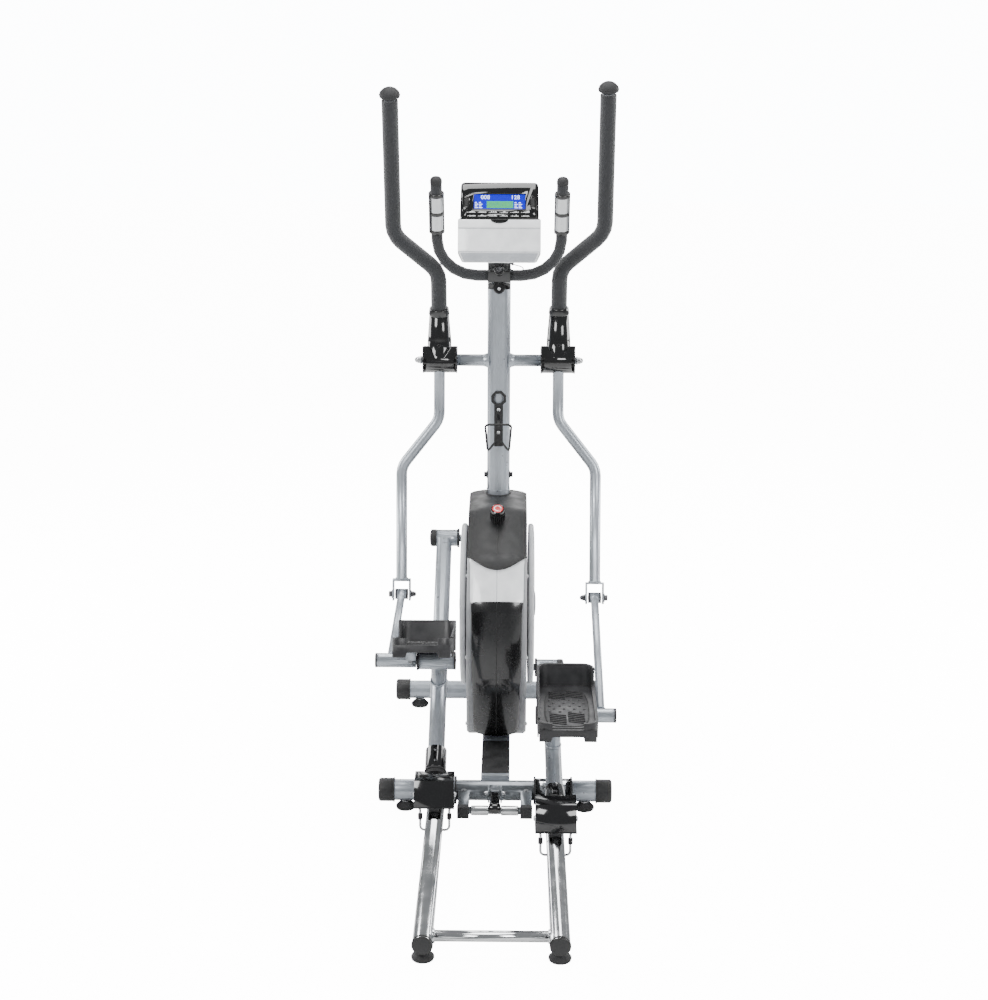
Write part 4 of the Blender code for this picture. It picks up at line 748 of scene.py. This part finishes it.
CONSOLE = Matrix.Translation((0, 0.478, 1.272)) @ Matrix.Rotation(math.radians(-25), 4, "X")
SCREEN_FACE = 0.0009
ON_SCREEN = (SCREEN_FACE - 0.0003, SCREEN_FACE + 0.0002)    # near and far side of display marks
ON_BEZEL = (-0.0003, 0.0005)


def on_console(x=0, y=0, z=0):
    """One spot in the console's own tilted frame."""
    return [(CONSOLE @ Matrix.Translation((x, y, z)), "root")]


def print_bars(name, bars, depths, finish):
    """Small flat bars on the console's face, each given as left, low, wide and high."""
    near, far = depths
    piece = start(name, bpy.ops.mesh.primitive_cube_add, size=1)
    bpy.ops.mesh.delete(type="VERT")
    for left, low, wide, high in bars:
        bpy.ops.mesh.primitive_cube_add(size=1, location=(0, 0, 0))
        bpy.ops.transform.resize(value=(wide, far - near, high), center_override=(0, 0, 0))
        bpy.ops.transform.translate(value=(left + wide / 2, (near + far) / 2, low + high / 2))
    fit(close_up(piece), finish, on_console())


def digits(name, words, x):
    """Generic display figures as raised print, at a distance right of the screen's middle."""
    bpy.ops.object.select_all(action="DESELECT")
    bpy.ops.object.text_add(location=(0, 0, 0))
    label = bpy.context.object.data
    label.body = words
    label.size = 0.0150
    label.space_character = 1.05
    label.extrude = 0.0001
    label.align_x = "CENTER"
    label.align_y = "CENTER"
    bpy.ops.object.convert(target="MESH")
    piece = close_up(model(name))
    place = CONSOLE @ Matrix.Translation((x, SCREEN_FACE - 0.0002, 0.1685))
    fit(piece, DIGIT, [(place @ Matrix.Rotation(math.pi / 2, 4, "X"), "root")])


def screen_marks():
    """Figures, dot field and dashes of the display, and the programme icons under it."""
    digits("display_time", "008", -0.036)
    digits("display_level", "128", 0.040)
    dots = [(-0.0325 + step * 0.0026, 0.1405 + level * 0.0031, 0.0021, 0.0025)
            for step in range(26) for level in range(6)]
    print_bars("dot_field", dots, ON_SCREEN, DOTS)
    dashes = [(left, 0.1405 + row * 0.0045, wide, 0.0018)
              for left in (-0.0625, -0.0520, 0.0380, 0.0485)
              for row, wide in enumerate((0.0085, 0.0060, 0.0085, 0.0050))]
    print_bars("display_dashes", dashes, ON_SCREEN, DIGIT)
    profiles = ("1233321", "2222222", "1313131", "1123211", "1122312", "1122334",
                "2121212", "1232211", "1121331", "1332121", "2111311", "1212121")
    icons = []
    for index, profile in enumerate(profiles):
        left = -0.0780 + (index % 6) * 0.0273
        low = 0.1280 - (index // 6) * 0.0098
        icons.append((left - 0.0035, low, 0.0020, 0.0012))
        for step, level in enumerate(profile):
            icons.append((left + step * 0.0025, low, 0.0022, 0.0013 * int(level)))
    print_bars("programme_icons", icons, ON_BEZEL, WHITE)


def console_face():
    """Bezel tab, screen frame, key rims, seams, a darker pale plate of painted shade on the lower sloping face,
    and wire boot of the console.
    """
    screen_marks()
    arc = [math.pi * step / 20 for step in range(21)]
    tab = cutout("bezel_tab", [(0.0225 * math.cos(turn), -0.0105 * math.sin(turn)) for turn in arc],
                 0.004, 0.0006)
    fit(tab, GLOSS_BLACK, on_console(0, -0.0048, 0.1092))
    edge = [(x, -0.0001, z) for x, z in ((-0.0665, 0.1365), (0.0665, 0.1365),
                                         (0.0665, 0.1780), (-0.0665, 0.1780))]
    fit(bead("screen_frame", edge, 0.0007, True, 3), BLACK, on_console())
    seam = bead("console_seam", [(-0.1035, 0, 0), (0.1035, 0, 0)], 0.0008, False, 3)
    fit(seam, PALE_SEAM_AND_SHADE, on_console(0, -0.0001, 0.0862) + on_console(0, 0.0040, 0.0262))
    # Painted shade: a thin darker plate laid on the console's lower sloping face.
    skirt = cutout("console_lower_shade", [(-0.088, 0.0025), (0.088, 0.0025), (0.098, 0.0245),
                                     (-0.098, 0.0245)], 0.0014, 0.0004)
    slope = Matrix.Translation((0, 0.0130, 0)) @ Matrix.Rotation(math.atan2(0.010, 0.026), 4, "X")
    fit(skirt, PALE_SEAM_AND_SHADE, [(CONSOLE @ slope @ Matrix.Translation((0, -0.0011, 0)), "root")])
    rim = []
    for step in range(24):
        angle = FULL_TURN * step / 24
        lift = 0.0085 if math.sin(angle) > 0 else -0.0085
        rim.append((0.0062 * math.cos(angle), 0, 0.0062 * math.sin(angle) + lift))
    fit(bead("key_rim", rim, 0.0006, True, 3), BLACK,
        on_console(-0.084, -0.0001, 0.156) + on_console(0.084, -0.0001, 0.156))
    boot = turned("wire_boot", [(0.0045, 0), (0.0045, 0.004), (0.0032, 0.007), (0.0022, 0.010)], 24)
    fit(boot, RUBBER, [(facing((0.032, 0.4975, 1.2690), (0.25, -0.05, -1)), "root")])


# Casing

CASING_CENTRE = Vector((0, 0.49, 0.35))


def crown_line(node):
    """Outer centre line of a casing skin, in order round the casing."""
    points = [corner.co.copy() for corner in frame["nodes"][node].data.vertices
              if abs(corner.co.x) < 1e-5]
    rows = []
    for point in points:
        away = point - CASING_CENTRE
        rows.append((math.atan2(away.z, away.y), away.length, point))
    outer = [row for row in rows
             if not any(abs(row[0] - other[0]) < 0.035 and other[1] > row[1] + 0.006
                        for other in rows)]
    line = []
    for turn, _, point in sorted(outer, key=lambda row: -(row[0] % FULL_TURN)):
        if not line or (point - line[-1]).length > 0.0005:
            line.append(point)
    return line


def along_line(line, distance):
    """Point, and outward direction, a distance along a line from its start."""
    for here, there in zip(line, line[1:]):
        length = (there - here).length
        if distance <= length:
            break
        distance -= length
    ahead = (there - here).normalized()
    return here + ahead * distance, Vector((0, -ahead.z, ahead.y))


def casing_seams():
    """Middle seams of the nose, the pale panel and the top cover."""
    for node, finish in (("nose_cover", BLACK), ("pale_panel", PALE_SEAM_AND_SHADE), ("top_cover", BLACK)):
        fit(bead(f"{node}_seam", crown_line(node), 0.0008, False, 3), finish, fixed())


def cover_apron():
    """The curved lower edge of the top cover, which laps over the pale panel."""
    line = crown_line("pale_panel")
    if line[0].z <= line[-1].z:
        line.reverse()
    half = 0.0715
    crown = 0.009
    bpy.ops.object.select_all(action="DESELECT")
    bpy.ops.mesh.primitive_grid_add(x_subdivisions=24, y_subdivisions=10, size=1)
    piece = bpy.context.object
    for corner in piece.data.vertices:
        share = corner.co.x * 2
        down = 0.5 - corner.co.y
        depth = 0.004 + 0.040 * (1 - share ** 2)
        point, out = along_line(line, max(down * depth, 0.0001))
        out = -out if out.y > 0 else out
        corner.co = point + out * (0.0008 - crown * share ** 4) + RIGHT * share * half
    model("cover_apron")
    bpy.ops.mesh.normals_make_consistent(inside=False)
    bpy.ops.object.mode_set(mode="OBJECT")
    thick = piece.modifiers.new("thick", "SOLIDIFY")
    thick.thickness = 0.0036
    thick.offset = 1.0
    bpy.ops.object.modifier_apply(modifier="thick")
    soft = piece.modifiers.new("soft", "BEVEL")
    soft.width = 0.0011
    soft.segments = 3
    soft.limit_method = "ANGLE"
    bpy.ops.object.modifier_apply(modifier="soft")
    fit(piece, BLACK, fixed())


def tension_knob():
    """Grip ribs, red cap and turning mark of the tension knob."""
    found = [joint for joint in frame["joints"] if joint["name"] == "tension_knob_turn"][0]
    place = facing(Vector(found["pos_m"]), Vector(found["axis"]))

    def on_knob(local=Matrix.Identity(4)):
        """One spot on the knob's axis."""
        return [(place @ local, "tension_knob")]

    rib = block("knob_ribs", (-0.0011, 0.0172, 0.005), (0.0011, 0.0192, 0.026), 0.0007, 2)
    bpy.ops.object.mode_set(mode="EDIT")
    bpy.ops.mesh.select_all(action="SELECT")
    bpy.ops.mesh.spin(steps=20, dupli=True, angle=FULL_TURN, center=(0, 0, 0), axis=(0, 0, 1))
    fit(close_up(rib), GLOSS_BLACK, on_knob())
    knob = frame["nodes"]["tension_knob"].data
    top = max((place.inverted() @ corner.co).z for corner in knob.vertices)
    dome = turned("knob_dome", [(0.0182, top - 0.010), (0.0180, top - 0.003), (0.0168, top + 0.0012),
                                (0.0148, top + 0.0026), (0.0142, top + 0.0022)], 40)
    fit(dome, GLOSS_BLACK, on_knob())
    cap = turned("knob_cap", [(0.0142, top), (0.0142, top + 0.0028), (0.0120, top + 0.0036),
                              (0.004, top + 0.0038)], 40)
    fit(cap, RED, on_knob())
    mark = ring("knob_mark", 0.0074, 0.0098, top + 0.0032, top + 0.0042, 0.0003, 36,
                math.radians(285))
    fit(mark, WHITE, on_knob(Matrix.Rotation(math.radians(-80), 4, "Z")))
    tip = turned("knob_tip", [(0.0030, 0), (0.0030, 0.0008)], 3)
    fit(tip, WHITE, on_knob(Matrix.Translation((-0.0078, -0.0040, top + 0.0035))))


def casing_fittings():
    """Screws, vents and disc trim of the drive casing."""
    spots = []
    for side, _ in HANDS:
        for y, z in ((0.262, 0.118), (0.712, 0.118), (0.728, 0.520), (0.300, 0.500), (0.250, 0.300)):
            spots.append((outward(0.0757, y, z)(side), "root"))
    fit(screw("casing_screw", 0.0048), ZINC, spots)
    vents = []
    for step in range(7):
        vents += fixed(0, 0.7645, 0.230 + 0.016 * step)
    fit(block("casing_vent", (-0.042, -0.001, -0.0028), (0.042, 0.0022, 0.0028), 0.0012, 2),
        BLACK, vents)
    crank = hinge("crank_spin")
    faces, ribs = [], []
    for side, _ in HANDS:
        face = facing(crank + RIGHT * side * 0.0945, RIGHT * side)
        faces.append((face, "crank"))
        for step in range(6):
            ribs.append((face @ Matrix.Rotation(FULL_TURN * (step + 0.5) / 6, 4, "Z"), "crank"))
    fit(ring("disc_groove", 0.188, 0.1905, 0, 0.0011, 0.0005, 96), GREY, faces)
    boss = turned("crank_cap", [(0.034, 0), (0.034, 0.0022), (0.030, 0.0050), (0.014, 0.0064),
                                (0.012, 0.0052)], 48, 0.0004)
    fit(boss, BLACK, faces)
    fit(block("disc_rib", (-0.004, 0.060, 0), (0.004, 0.180, 0.0011), 0.0005, 2), GREY, ribs)


# Floor frame

TUBE_Z = 0.047
TUBE_OUT = 0.025
FRONT_TUBE_Y = 0.703
BEAM_X = 0.075           # middle of a fixed rail arm


def floor_fittings():
    """Flanges, bolts and end plugs of the floor frame, silver bands on the outer ends of the middle stabiliser
    where its painted shade stops, and a black plate of painted shade on the beam.
    """
    flanges, lips, feet = [], [], []
    for side, hand in HANDS:
        flanges += [(facing((side * x, 0, TUBE_Z), RIGHT), "root") for x in (0.0957, 0.1843)]
        lips += [(facing((side * 0.2452, y, TUBE_Z), RIGHT), "root") for y in (0, FRONT_TUBE_Y)]
        for stem in ("middle", "front", "rail"):
            place = middle(f"{stem}_foot_{hand}")
            feet.append((Matrix.Translation((place.x, place.y, 0)), f"{stem}_foot_{hand}"))
    fit(ring("hinge_flange", 0.0296, 0.0338, -0.0024, 0.0024, 0.0009), RUBBER, flanges)
    # Silver bands on the outer ends of the middle stabiliser, where its painted shade stops.
    fit(ring("outer_band", TUBE_OUT + 0.0001, TUBE_OUT + 0.0005, 0.1868, 0.2460, 0.0002), SILVER,
        on_frame(outward(0, 0, TUBE_Z)))
    fit(hex_bolt("frame_bolt", 0.0062), ZINC,
        on_frame(lambda side: facing((side * BEAM_X, -0.0238, 0.0525), (0, -1, 0.25)))
        + on_frame(lambda side: facing((side * 0.022, 0.7270, 0.0530), (0, 1, 0.25))))
    fit(ring("cap_lip", 0.0255, 0.0298, -0.0015, 0.0015, 0.0006), BLACK, lips)
    fit(block("arm_plug", (-0.0142, -0.128, 0.0288), (0.0142, -0.108, 0.0572), 0.0016), RUBBER,
        on_frame(mirrored(BEAM_X, 0, 0)))
    fit(ring("latch_sleeve", 0.0091, 0.0116, 0.0150, 0.0560, 0.0012), CHROME,
        on_frame(outward(0, -0.111, 0.043)))
    fit(turned("foot_nut", [(0.0105, 0.0172), (0.0105, 0.0212)], 6, 0.0005), ZINC, feet)
    fit(screw("rear_screw", 0.0042), DARK_ZINC,
        on_frame(lambda side: facing((side * 0.112, -0.7505, 0.0495), (0, -0.8, 0.6))))
    # Painted shade: a thin black plate over the top of the beam stands for the shadow that the casing casts on it.
    fit(block("beam_painted_shade", (-0.0345, 0.040, 0.0748), (0.0345, 0.250, 0.0760), 0.0005, 2), BLACK,
        fixed())
    fit(ring("rail_weld", 0.0114, 0.0150, -0.0025, 0.0025, 0.0012), CHROME,
        on_frame(lambda side: facing((side * (RAIL_X - 0.0215), -0.740, RAIL_Z), RIGHT)))
    fit(ring("rail_collar", 0.0206, 0.0222, -0.7815, -0.7775, 0.0005), BLACK,
        on_frame(lambda side: facing((side * RAIL_X, 0, RAIL_Z), AHEAD)))


def latch_details():
    """Ribs and end button of the latch lever, and the clamp over its pivot."""
    pivot = hinge("latch_lever_lift")
    rib = block("lever_ribs", (-0.009, -0.001, 0.0055), (0.009, 0.001, 0.0075), 0.0006, 2)
    fit(rib, GLOSS_BLACK, [(Matrix.Translation(pivot - AHEAD * (0.022 + 0.008 * step)), "latch_lever")
                           for step in range(6)])
    fit(domed_nut("lever_nut", 0.0048), ZINC,
        on_frame(lambda side: facing(pivot + RIGHT * side * 0.0168, RIGHT * side)))
    hood = block("lever_hood", (-0.0105, -0.010, 0.0062), (0.0105, 0.012, 0.0100), 0.0016)
    # The hood wears the darker silver copy that paints shade.
    fit(hood, SILVER_PAINTED_SHADE, [(Matrix.Translation(pivot), "latch_lever")])


def wheel_details():
    """Hub caps and tread lines of the transport wheels."""
    caps, treads = [], []
    for side, hand in HANDS:
        wheel = f"transport_wheel_{hand}"
        centre = hinge(f"{wheel}_spin")
        caps.append((facing(centre + RIGHT * side * 0.0100, RIGHT * side), wheel))
        for step in (-0.0045, 0.0045):
            treads.append((facing(centre + RIGHT * step, RIGHT), wheel))
    fit(ring("wheel_cap", 0.0080, 0.0180, -0.0005, 0.0020, 0.0008), GREY, caps)
    fit(ring("wheel_tread", 0.0240, 0.0262, -0.0012, 0.0012, 0.0005), RUBBER, treads)


# Pedal linkage

def shroud_fittings():
    """Black sleeve, screws and bellows on each pedal tube, and the hoop's sleeves."""
    on_tube = on_both("tube", lambda side: facing((0, 0, 0), AHEAD))
    fit(ring("tube_sleeve", 0.0226, 0.0252, 0.0640, 0.1230, 0.0012), GLOSS_BLACK, on_tube)
    fit(screw("sleeve_screw", 0.0046), DARK_ZINC,
        on_both("tube", mirrored(0, 0.0790, 0.0250)) + on_both("tube", mirrored(0, 0.1080, 0.0250)))
    for step, (outer, along) in enumerate(((0.0262, 0.0500), (0.0250, 0.0555), (0.0268, 0.0605))):
        fit(ring(f"bellows_{step}", 0.0205, outer, along - 0.0026, along + 0.0026, 0.0016),
            RUBBER, on_tube)
    edges = []
    for edge in (-1, 1):
        edges += on_both("carriage", lambda side, edge=edge: Matrix.Translation((edge * 0.034, 0, 0)))
    fit(ring("hoop_sleeve", 0.0031, 0.0056, -0.062, -0.048, 0.0010, 24), RUBBER, edges)
    rim = bead("shroud_rim", [(-0.046, 0.045, -0.014), (-0.046, -0.048, -0.014),
                              (0.046, -0.048, -0.014), (0.046, 0.045, -0.014)], 0.0019, False, 4)
    fit(rim, GLOSS_BLACK, on_both("carriage", mirrored(0, 0, 0)))
    ends = []
    for edge in (-1, 1):
        ends += on_both("carriage", lambda side, edge=edge: facing((edge * 0.0458, 0, 0), RIGHT * edge))
    fit(screw("axle_head", 0.0068), ZINC, ends)


def hub_fittings():
    """Rings and caps of the pedal hubs and crank-pin hubs."""
    fit(ring("hub_seal", 0.0180, 0.0236, -0.0045, 0, 0.0010), BLACK,
        on_both("tube", outward(0.1902 - RAIL_X, HUB_ALONG, HUB_ABOVE)))
    inner_cap = turned("hub_cap", [(0.0222, -0.002), (0.0222, 0.0010), (0.0200, 0.0022),
                                   (0.0105, 0.0026), (0.0095, 0.0016)], 40)
    fit(inner_cap, BLACK, on_both("tube", outward(0.0980 - RAIL_X, HUB_ALONG, HUB_ABOVE, -1)))
    end = turned("cross_tube_plug", [(0.0178, -0.002), (0.0178, 0.0012), (0.0165, 0.0026),
                                     (0.006, 0.0030)], 40)
    fit(end, BLACK, on_both("pedal", outward(0.2880, 0, 0)))
    pin_cap = turned("pin_cap", [(0.0222, -0.010), (0.0226, -0.008), (0.0226, 0.0020),
                                 (0.0205, 0.0052), (0.0120, 0.0072), (0.0040, 0.0078)], 40)
    fit(pin_cap, BLACK, on_both("tube", outward(0.1700 - RAIL_X, TUBE_LENGTH, 0)))
    fit(ring("pin_ring", 0.0215, 0.0246, 0, 0.0060, 0.0010), RUBBER,
        on_both("tube", outward(0.1000 - RAIL_X, TUBE_LENGTH, 0)))
    fit(ring("post_weld", 0.0165, 0.0202, 0.0190, 0.0235, 0.0016), SILVER,
        on_both("tube", mirrored(0, HUB_ALONG, 0)))
    fit(ring("rod_weld", 0.0094, 0.0138, 0.0160, 0.0195, 0.0014), SILVER,
        on_both("pedal", lambda side: facing((side * LINK_X, 0, 0), AHEAD)))


PLATE_Z = 0.0416         # top of a foot plate above the pedal hub
PLATE_LEFT = 0.098
PLATE_RIGHT = 0.239
PLATE_BACK = -0.205
PLATE_FRONT = 0.105
PLATE_MIDDLE = (PLATE_LEFT + PLATE_RIGHT) / 2
PLATE_CORNER = 0.030
GUARD_WALL = 0.007
GUARD_TOP = PLATE_Z + 0.052
PAD_HALF = 0.0505
PAD_BACK = -0.186
PAD_FRONT = 0.052
RIDGE_TURN = math.radians(-16)
DROOP = Matrix.Rotation(PEDAL_DROOP, 4, "X")


def on_plates(x, y, z, turn=0.0):
    """Spots on both foot plates, with x to the right of each plate's middle."""
    return on_both("pedal", lambda side: DROOP @ Matrix.Translation((side * PLATE_MIDDLE + x, y, z))
                   @ Matrix.Rotation(turn, 4, "Z"))


def tread_pad():
    """The raised pad of a foot plate, with its border, diagonal ridges and grip studs."""
    outline = []
    for step in range(48):
        angle = FULL_TURN * step / 48
        cosine, sine = math.cos(angle), math.sin(angle)
        outline.append((PAD_HALF * math.copysign(abs(cosine) ** 0.45, cosine),
                        (PAD_BACK + PAD_FRONT) / 2
                        + (PAD_FRONT - PAD_BACK) / 2 * math.copysign(abs(sine) ** 0.60, sine)))
    lay = Matrix.Rotation(-math.pi / 2, 4, "X")
    fit(cutout("tread_pad", outline, 0.0016, 0.0005), TREAD,
        [(place @ lay, body) for place, body in on_plates(0, 0, PLATE_Z + 0.0015)])
    border = bead("tread_border", [(x * 1.03, y, 0) for x, y in outline], 0.0010, True, 3)
    fit(border, BLACK, on_plates(0, 0, PLATE_Z + 0.0004))
    ridges, studs = [], []
    for row in range(6):
        for column in (-1, 1):
            for rear, rows in ((-0.168, 6), (0.002, 4)):
                if row < rows:
                    ridges += on_plates(0.0215 * column, rear + 0.0115 * row + 0.004 * column,
                                        PLATE_Z + 0.0014, RIDGE_TURN)
    for row in range(5):
        for column in range(4):
            x = -0.036 + 0.024 * column + (0.006 if row % 2 else -0.004)
            studs += on_plates(x, -0.094 + 0.0195 * row, PLATE_Z + 0.0014)
    fit(block("tread_ridge", (-0.0205, -0.0014, 0), (0.0205, 0.0014, 0.0022), 0.0009, 2),
        BLACK, ridges)
    fit(turned("grip_stud", [(0.0036, 0), (0.0034, 0.0011), (0.0024, 0.0020), (0.0008, 0.0023)], 14),
        TREAD, studs)


def foot_plates():
    """Rolled rims, side skirts and the notched rear skirt of each foot plate."""
    tread_pad()
    wall = GUARD_WALL / 2
    rim = [(PLATE_LEFT + wall, -0.176, PLATE_Z + 0.014), (PLATE_LEFT + wall, 0.020, PLATE_Z + 0.034),
           (PLATE_LEFT + wall, 0.045, GUARD_TOP)]
    reach = PLATE_CORNER - wall
    for start_turn, centre in ((180, PLATE_LEFT + PLATE_CORNER), (90, PLATE_RIGHT - PLATE_CORNER)):
        for step in range(9):
            turn = math.radians(start_turn - 90 * step / 8)
            rim.append((centre + reach * math.cos(turn),
                        PLATE_FRONT - PLATE_CORNER + reach * math.sin(turn), GUARD_TOP))
    rim.append((PLATE_RIGHT - wall, 0.066, GUARD_TOP))
    for side, hand in HANDS:
        line = bead(f"plate_rim_{hand}", [(side * x, y, z) for x, y, z in rim], 0.0037, False, 5)
        fit(line, TREAD, [(PLACES[hand]["pedal"] @ DROOP, f"pedal_{hand}")])
    skirts, lugs = [], []
    for x in (PLATE_LEFT + 0.002, PLATE_RIGHT - 0.002):
        skirts += on_both("pedal", lambda side, x=x: DROOP @ Matrix.Translation((side * x, 0, 0)))
    for y in (-0.018, 0.018):
        lugs += on_both("pedal", lambda side, y=y: DROOP @ facing((side * 0.204, y, 0.0004), -UP))
    fit(block("side_skirt", (-0.0018, -0.178, 0.0120), (0.0018, -0.032, 0.0250), 0.0008, 2),
        TREAD, skirts)
    half = (PLATE_RIGHT - PLATE_LEFT) / 2 - 0.004
    outline = [(-half, 0.0400), (-half, 0.0110), (-half + 0.028, 0.0110), (-half + 0.031, 0.0225),
               (half - 0.031, 0.0225), (half - 0.028, 0.0110), (half, 0.0110), (half, 0.0400)]
    fit(cutout("rear_skirt", outline, 0.0042, 0.0012), TREAD, on_plates(0, PLATE_BACK - 0.0008, 0))
    fit(hex_bolt("plate_bolt", 0.0062), ZINC, lugs)


# Setting

FLOOR_WHITE = 13.2       # strengths the camera sees as white
AIR_WHITE = 14.0
AIR_LIGHT = 0.36         # strength the surroundings light the machine with
LAMPS = (                # name, place, size, power
    ("key", (-2.4, -2.8, 3.2), 1.6, 125.0),
    ("fill", (2.6, -2.6, 2.4), 1.4, 75.0),
    ("top", (0.0, 0.4, 3.6), 2.0, 95.0),
    ("left", (-2.6, 1.6, 1.6), 1.6, 75.0),
    ("right", (2.6, 1.6, 1.6), 1.6, 75.0),
    ("back", (0.0, 4.0, 2.8), 2.4, 80.0),
)


def seen_white(tree, dim, white):
    """A strength that is white to the camera and dimmer to everything it lights."""
    path = tree.nodes.new("ShaderNodeLightPath")
    reach = tree.nodes.new("ShaderNodeMapRange")
    reach.inputs["To Min"].default_value = dim
    reach.inputs["To Max"].default_value = white
    tree.links.new(path.outputs["Is Camera Ray"], reach.inputs["Value"])
    return reach.outputs["Result"]


def studio():
    """Pale floor, soft light and the camera."""
    bpy.ops.object.select_all(action="DESELECT")
    bpy.ops.mesh.primitive_plane_add(size=24, location=(0, 4, 0))
    floor = bpy.context.object
    floor.name = "studio_floor"
    paper = bpy.data.materials.new("studio paper")
    paper.use_nodes = True
    tree = paper.node_tree
    shader = tree.nodes["Principled BSDF"]
    shader.inputs["Base Color"].default_value = (0.88, 0.88, 0.88, 1)
    shader.inputs["Roughness"].default_value = 0.9
    shader.inputs["Emission Color"].default_value = (1, 1, 1, 1)
    tree.links.new(seen_white(tree, 0.0, FLOOR_WHITE), shader.inputs["Emission Strength"])
    floor.data.materials.append(paper)
    world = bpy.data.worlds.new("studio air")
    world.use_nodes = True
    tree = world.node_tree
    air = tree.nodes["Background"]
    air.inputs["Color"].default_value = (0.95, 0.975, 1.0, 1)
    tree.links.new(seen_white(tree, AIR_LIGHT, AIR_WHITE), air.inputs["Strength"])
    bpy.context.scene.world = world
    for name, spot, size, power in LAMPS:
        bpy.ops.object.light_add(type="AREA", location=spot)
        lamp = bpy.context.object
        lamp.name = f"{name}_light"
        lamp.data.shape = "SQUARE"
        lamp.data.size = size
        lamp.data.energy = power
        aim = (Vector((0, 0, 0.7)) - lamp.location).to_track_quat("-Z", "Y")
        lamp.rotation_euler = aim.to_euler()
    bpy.ops.object.camera_add(location=CAMERA_PLACE)
    camera = bpy.context.object
    camera.name = "viewer"
    camera.data.lens = LENS
    turn = Matrix.Rotation(CAMERA_YAW, 4, "Z") @ Matrix.Rotation(CAMERA_PITCH, 4, "X")
    camera.matrix_world = Matrix.Translation(CAMERA_PLACE) @ turn @ Matrix.Rotation(CAMERA_ROLL, 4, "Z")
    bpy.context.scene.camera = camera


for dress in (dress_frame, handle_hubs, clevises, mast_fittings, cage_fittings, pulse_sensors,
              clamp_fittings, console_face, casing_seams, cover_apron, tension_knob,
              casing_fittings, floor_fittings, latch_details, wheel_details, shroud_fittings,
              hub_fittings, foot_plates, studio):
    dress()
